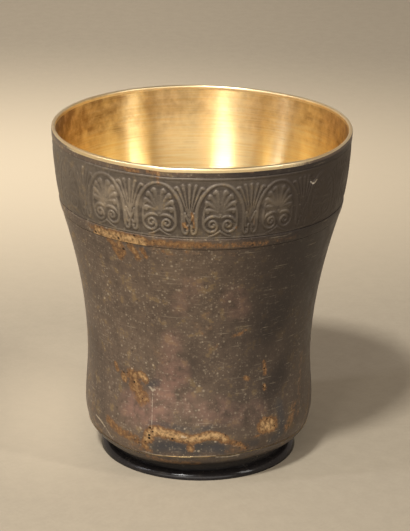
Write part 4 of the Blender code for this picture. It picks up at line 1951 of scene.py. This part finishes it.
@dataclass(frozen=True)
class Lamp:
    """An area lamp that looks at the beaker."""

    name: str
    azimuth: float
    elevation: float
    distance: float
    size: tuple[float, float]
    power: float
    colour: tuple[float, float, float] = (1.0, 0.97, 0.92)
    aim: tuple[float, float, float] = (0.0, 0.0, 0.05)

    def build(self) -> bpy.types.Object:
        """Makes the lamp on its bearing and turns it to its aim.

        Returns:
            The lamp.
        """
        data = bpy.data.lights.new(self.name, "AREA")
        data.shape = "RECTANGLE"
        data.size, data.size_y = self.size
        data.energy = self.power
        data.color = self.colour
        lamp = set_out(self.name, data)
        way = bearing(self.azimuth, self.elevation)
        lamp.location = Vector(self.aim) + self.distance * way
        lamp.rotation_euler = way.to_track_quat("Z", "Y").to_euler()
        return lamp


@dataclass(frozen=True)
class Pool:
    """A painted pool of light on the floor: its middle and reach in mm, its strength."""

    middle: tuple[float, float]
    reach: tuple[float, float]
    strength: float


@dataclass(frozen=True)
class Studio:
    """A plain pale floor, soft light, and a camera where the photograph was taken from."""

    camera_place: tuple[float, float, float] = (0.0, -0.55469, 0.24823)
    camera_right: tuple[float, float, float] = (0.99991715, 0.00235119, 0.01265533)
    camera_up: tuple[float, float, float] = (-0.01270488, 0.33813861, 0.94101055)
    camera_ahead: tuple[float, float, float] = (0.00206676, 0.94109338, -0.33814047)
    focal_pixels: float = 2291.56
    photo_height: int = 531
    sensor: float = 36.0
    clip: Span = (0.01, 20.0)
    floor_half: float = 3.0
    floor_colour: Colour = (0.408, 0.349, 0.258, 1)
    floor_roughness: float = 0.85
    grain_tone: float = 0.91
    pool_colour: Colour = (0.80, 0.68, 0.49, 1)
    pools: tuple[Pool, ...] = (
        Pool((-98.0, 242.0), (436.0, 196.0), 1.0),
        Pool((-40.0, 22.0), (32.0, 70.0), 0.36),
    )
    shade_side: Span = (-50.0, 110.0)
    shade_depth: float = 0.17
    world_colour: Colour = (1.0, 0.84, 0.71, 1)
    world_strength: float = 0.56
    world_overhead: float = 0.10
    world_band: Span = (0.55, 0.85)
    world_side: tuple[float, float, float] = (-0.30, -0.20, 0.0)
    flag_azimuth: float = 59.0
    flag_edges: Span = (9.0, 5.0)
    flag_depth: float = 0.42
    lamps: tuple[Lamp, ...] = (
        Lamp("key", -27.0, 58.0, 2.0, (0.22, 0.22), 33.0, (1.0, 0.98, 0.95)),
        Lamp("soft_box", -4.0, 21.0, 1.6, (2.80, 0.50), 10.8),
        Lamp("core_strip", -18.0, 30.0, 1.6, (0.16, 0.40), 2.2),
        Lamp("right_card", 63.5, 34.0, 1.2, (0.07, 0.50), 3.0),
        Lamp("left_card", -74.3, 34.0, 1.2, (0.07, 0.50), 2.3, (0.93, 0.93, 1.0)),
    )

    def floor_material(self) -> bpy.types.Material:
        """The floor's finish: a faint grain, with painted pools of light and painted shade towards
        the right.

        Returns:
            The material.
        """
        material, g, shader, place = start_material("pale_floor")
        grain = g.plus(g.noise(place, 0.9, 4.0, 0.6), g.noise(place, 0.22, 3.0, 0.6))
        soft = (*(self.grain_tone * part for part in self.floor_colour[:3]), 1)
        lit = g.mix(g.step(g.times(grain, 0.5), 0.3, 0.7), soft, self.floor_colour)
        for pool in self.pools:
            away = g.vector("SUBTRACT", place, (*pool.middle, 0.0))
            share = g.vector("DIVIDE", away, (*pool.reach, 1.0))
            length = g.vector("LENGTH", share, output="Value")
            amount = g.times(g.less(1.0, g.step(length, 0.0, 1.0)), pool.strength)
            lit = g.mix(amount, lit, self.pool_colour)
        across = g.add("ShaderNodeSeparateXYZ", place).outputs[0]
        # Painted shade on the floor towards the right.
        painted_shade = g.times(g.step(across, *self.shade_side), self.shade_depth)
        g.feed(shader["Base Color"], g.mix(painted_shade, lit, (0.0, 0.0, 0.0, 1)))
        shader["Roughness"].default_value = self.floor_roughness
        return material

    def floor(self) -> bpy.types.Object:
        """The floor: one flat square on the table's level.

        Returns:
            The floor.
        """
        half = self.floor_half
        corners = [(-half, -half, 0), (half, -half, 0), (half, half, 0), (-half, half, 0)]
        mesh = bpy.data.meshes.new("floor")
        mesh.from_pydata(corners, [], [(0, 1, 2, 3)])
        mesh.materials.append(self.floor_material())
        floor = set_out("floor", mesh)
        return floor

    def world(self) -> None:
        """A plain, pale surround.

        It is brightest up to half way to overhead, and a little to one side. A flag shades a narrow
        upright part of it.
        """
        world = bpy.data.worlds.new("studio")
        world.use_nodes = True
        bpy.context.scene.world = world
        g = Graph(world.node_tree)
        way = g.add("ShaderNodeTexCoord").outputs["Generated"]
        height = g.add("ShaderNodeSeparateXYZ", way).outputs[2]
        overhead = g.step(height, *self.world_band)
        level = g.blend(overhead, self.world_strength, self.world_overhead)
        side = g.vector("DOT_PRODUCT", way, self.world_side, output="Value")
        level = g.times(level, g.plus(side, 1.0))
        flat = g.vector("NORMALIZE", g.vector("MULTIPLY", way, (1.0, 1.0, 0.0)))
        near = g.vector("DOT_PRODUCT", flat, bearing(self.flag_azimuth), output="Value")
        edges = (math.cos(math.radians(edge)) for edge in self.flag_edges)
        shade = g.times(g.step(near, *edges), self.flag_depth)
        background = world.node_tree.nodes["Background"].inputs
        background["Color"].default_value = self.world_colour
        g.feed(background["Strength"], g.times(level, g.less(1.0, shade)))

    def camera(self) -> bpy.types.Object:
        """The camera, from the fit of the photograph: its place, its three axes and its lens.

        Returns:
            The camera.
        """
        data = bpy.data.cameras.new("camera")
        data.sensor_width = self.sensor
        data.lens = self.focal_pixels * self.sensor / self.photo_height
        data.clip_start, data.clip_end = self.clip
        camera = set_out("camera", data)
        back = tuple(-part for part in self.camera_ahead)
        axes = Matrix((self.camera_right, self.camera_up, back)).transposed()
        camera.matrix_world = Matrix.Translation(self.camera_place) @ axes.to_4x4()
        bpy.context.scene.camera = camera
        return camera

    def build(self) -> None:
        """Makes the floor, the surround, the lamps and the camera."""
        self.floor()
        self.world()
        for lamp in self.lamps:
            lamp.build()
        self.camera()
        bpy.context.scene.view_settings.view_transform = "Standard"


def main() -> None:
    """Builds the beaker's pieces and the studio, and reports each piece."""
    logging.basicConfig(level=logging.INFO, format="%(name)s %(message)s")
    wall_box, lip_box, pan_box = (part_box(node) for node in ("body_wall", "lip_wire", "base_pan"))
    strip_box, fillet_box = (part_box(node) for node in ("frieze_strip", "fillet_wire"))
    top = lip_box[1].z
    outline = Outline(bottom=wall_box[0].z, top=top, rim_radius=lip_box[1].x)
    handling = Handling()
    finishes = Finishes.build()
    seam_gap = 0.02 * MM
    groove = 0.10 * MM
    wall = Wall(
        outline, handling, foot_height=pan_box[1].z + seam_gap, strip_low=fillet_box[0].z - groove,
        strip_high=strip_box[1].z + groove, lip_seat=lip_box[0].z - seam_gap,
    )
    wall.build(finishes)
    LipWire(handling, lip_box[1].x, lip_box[0].z, top).build(finishes)
    Frieze(outline, handling, Palmette(), fillet_box[1].z + groove, strip_box[1].z).build(finishes)
    Fillet(outline, handling, fillet_box[0].z, fillet_box[1].z).build(finishes)
    BasePan(outline, handling, pan_box[0].z, pan_box[1].z).build(finishes)
    FootRing(handling, pan_box[0].z - seam_gap).build(finishes)
    Studio().build()


if __name__ == "__main__":
    main()
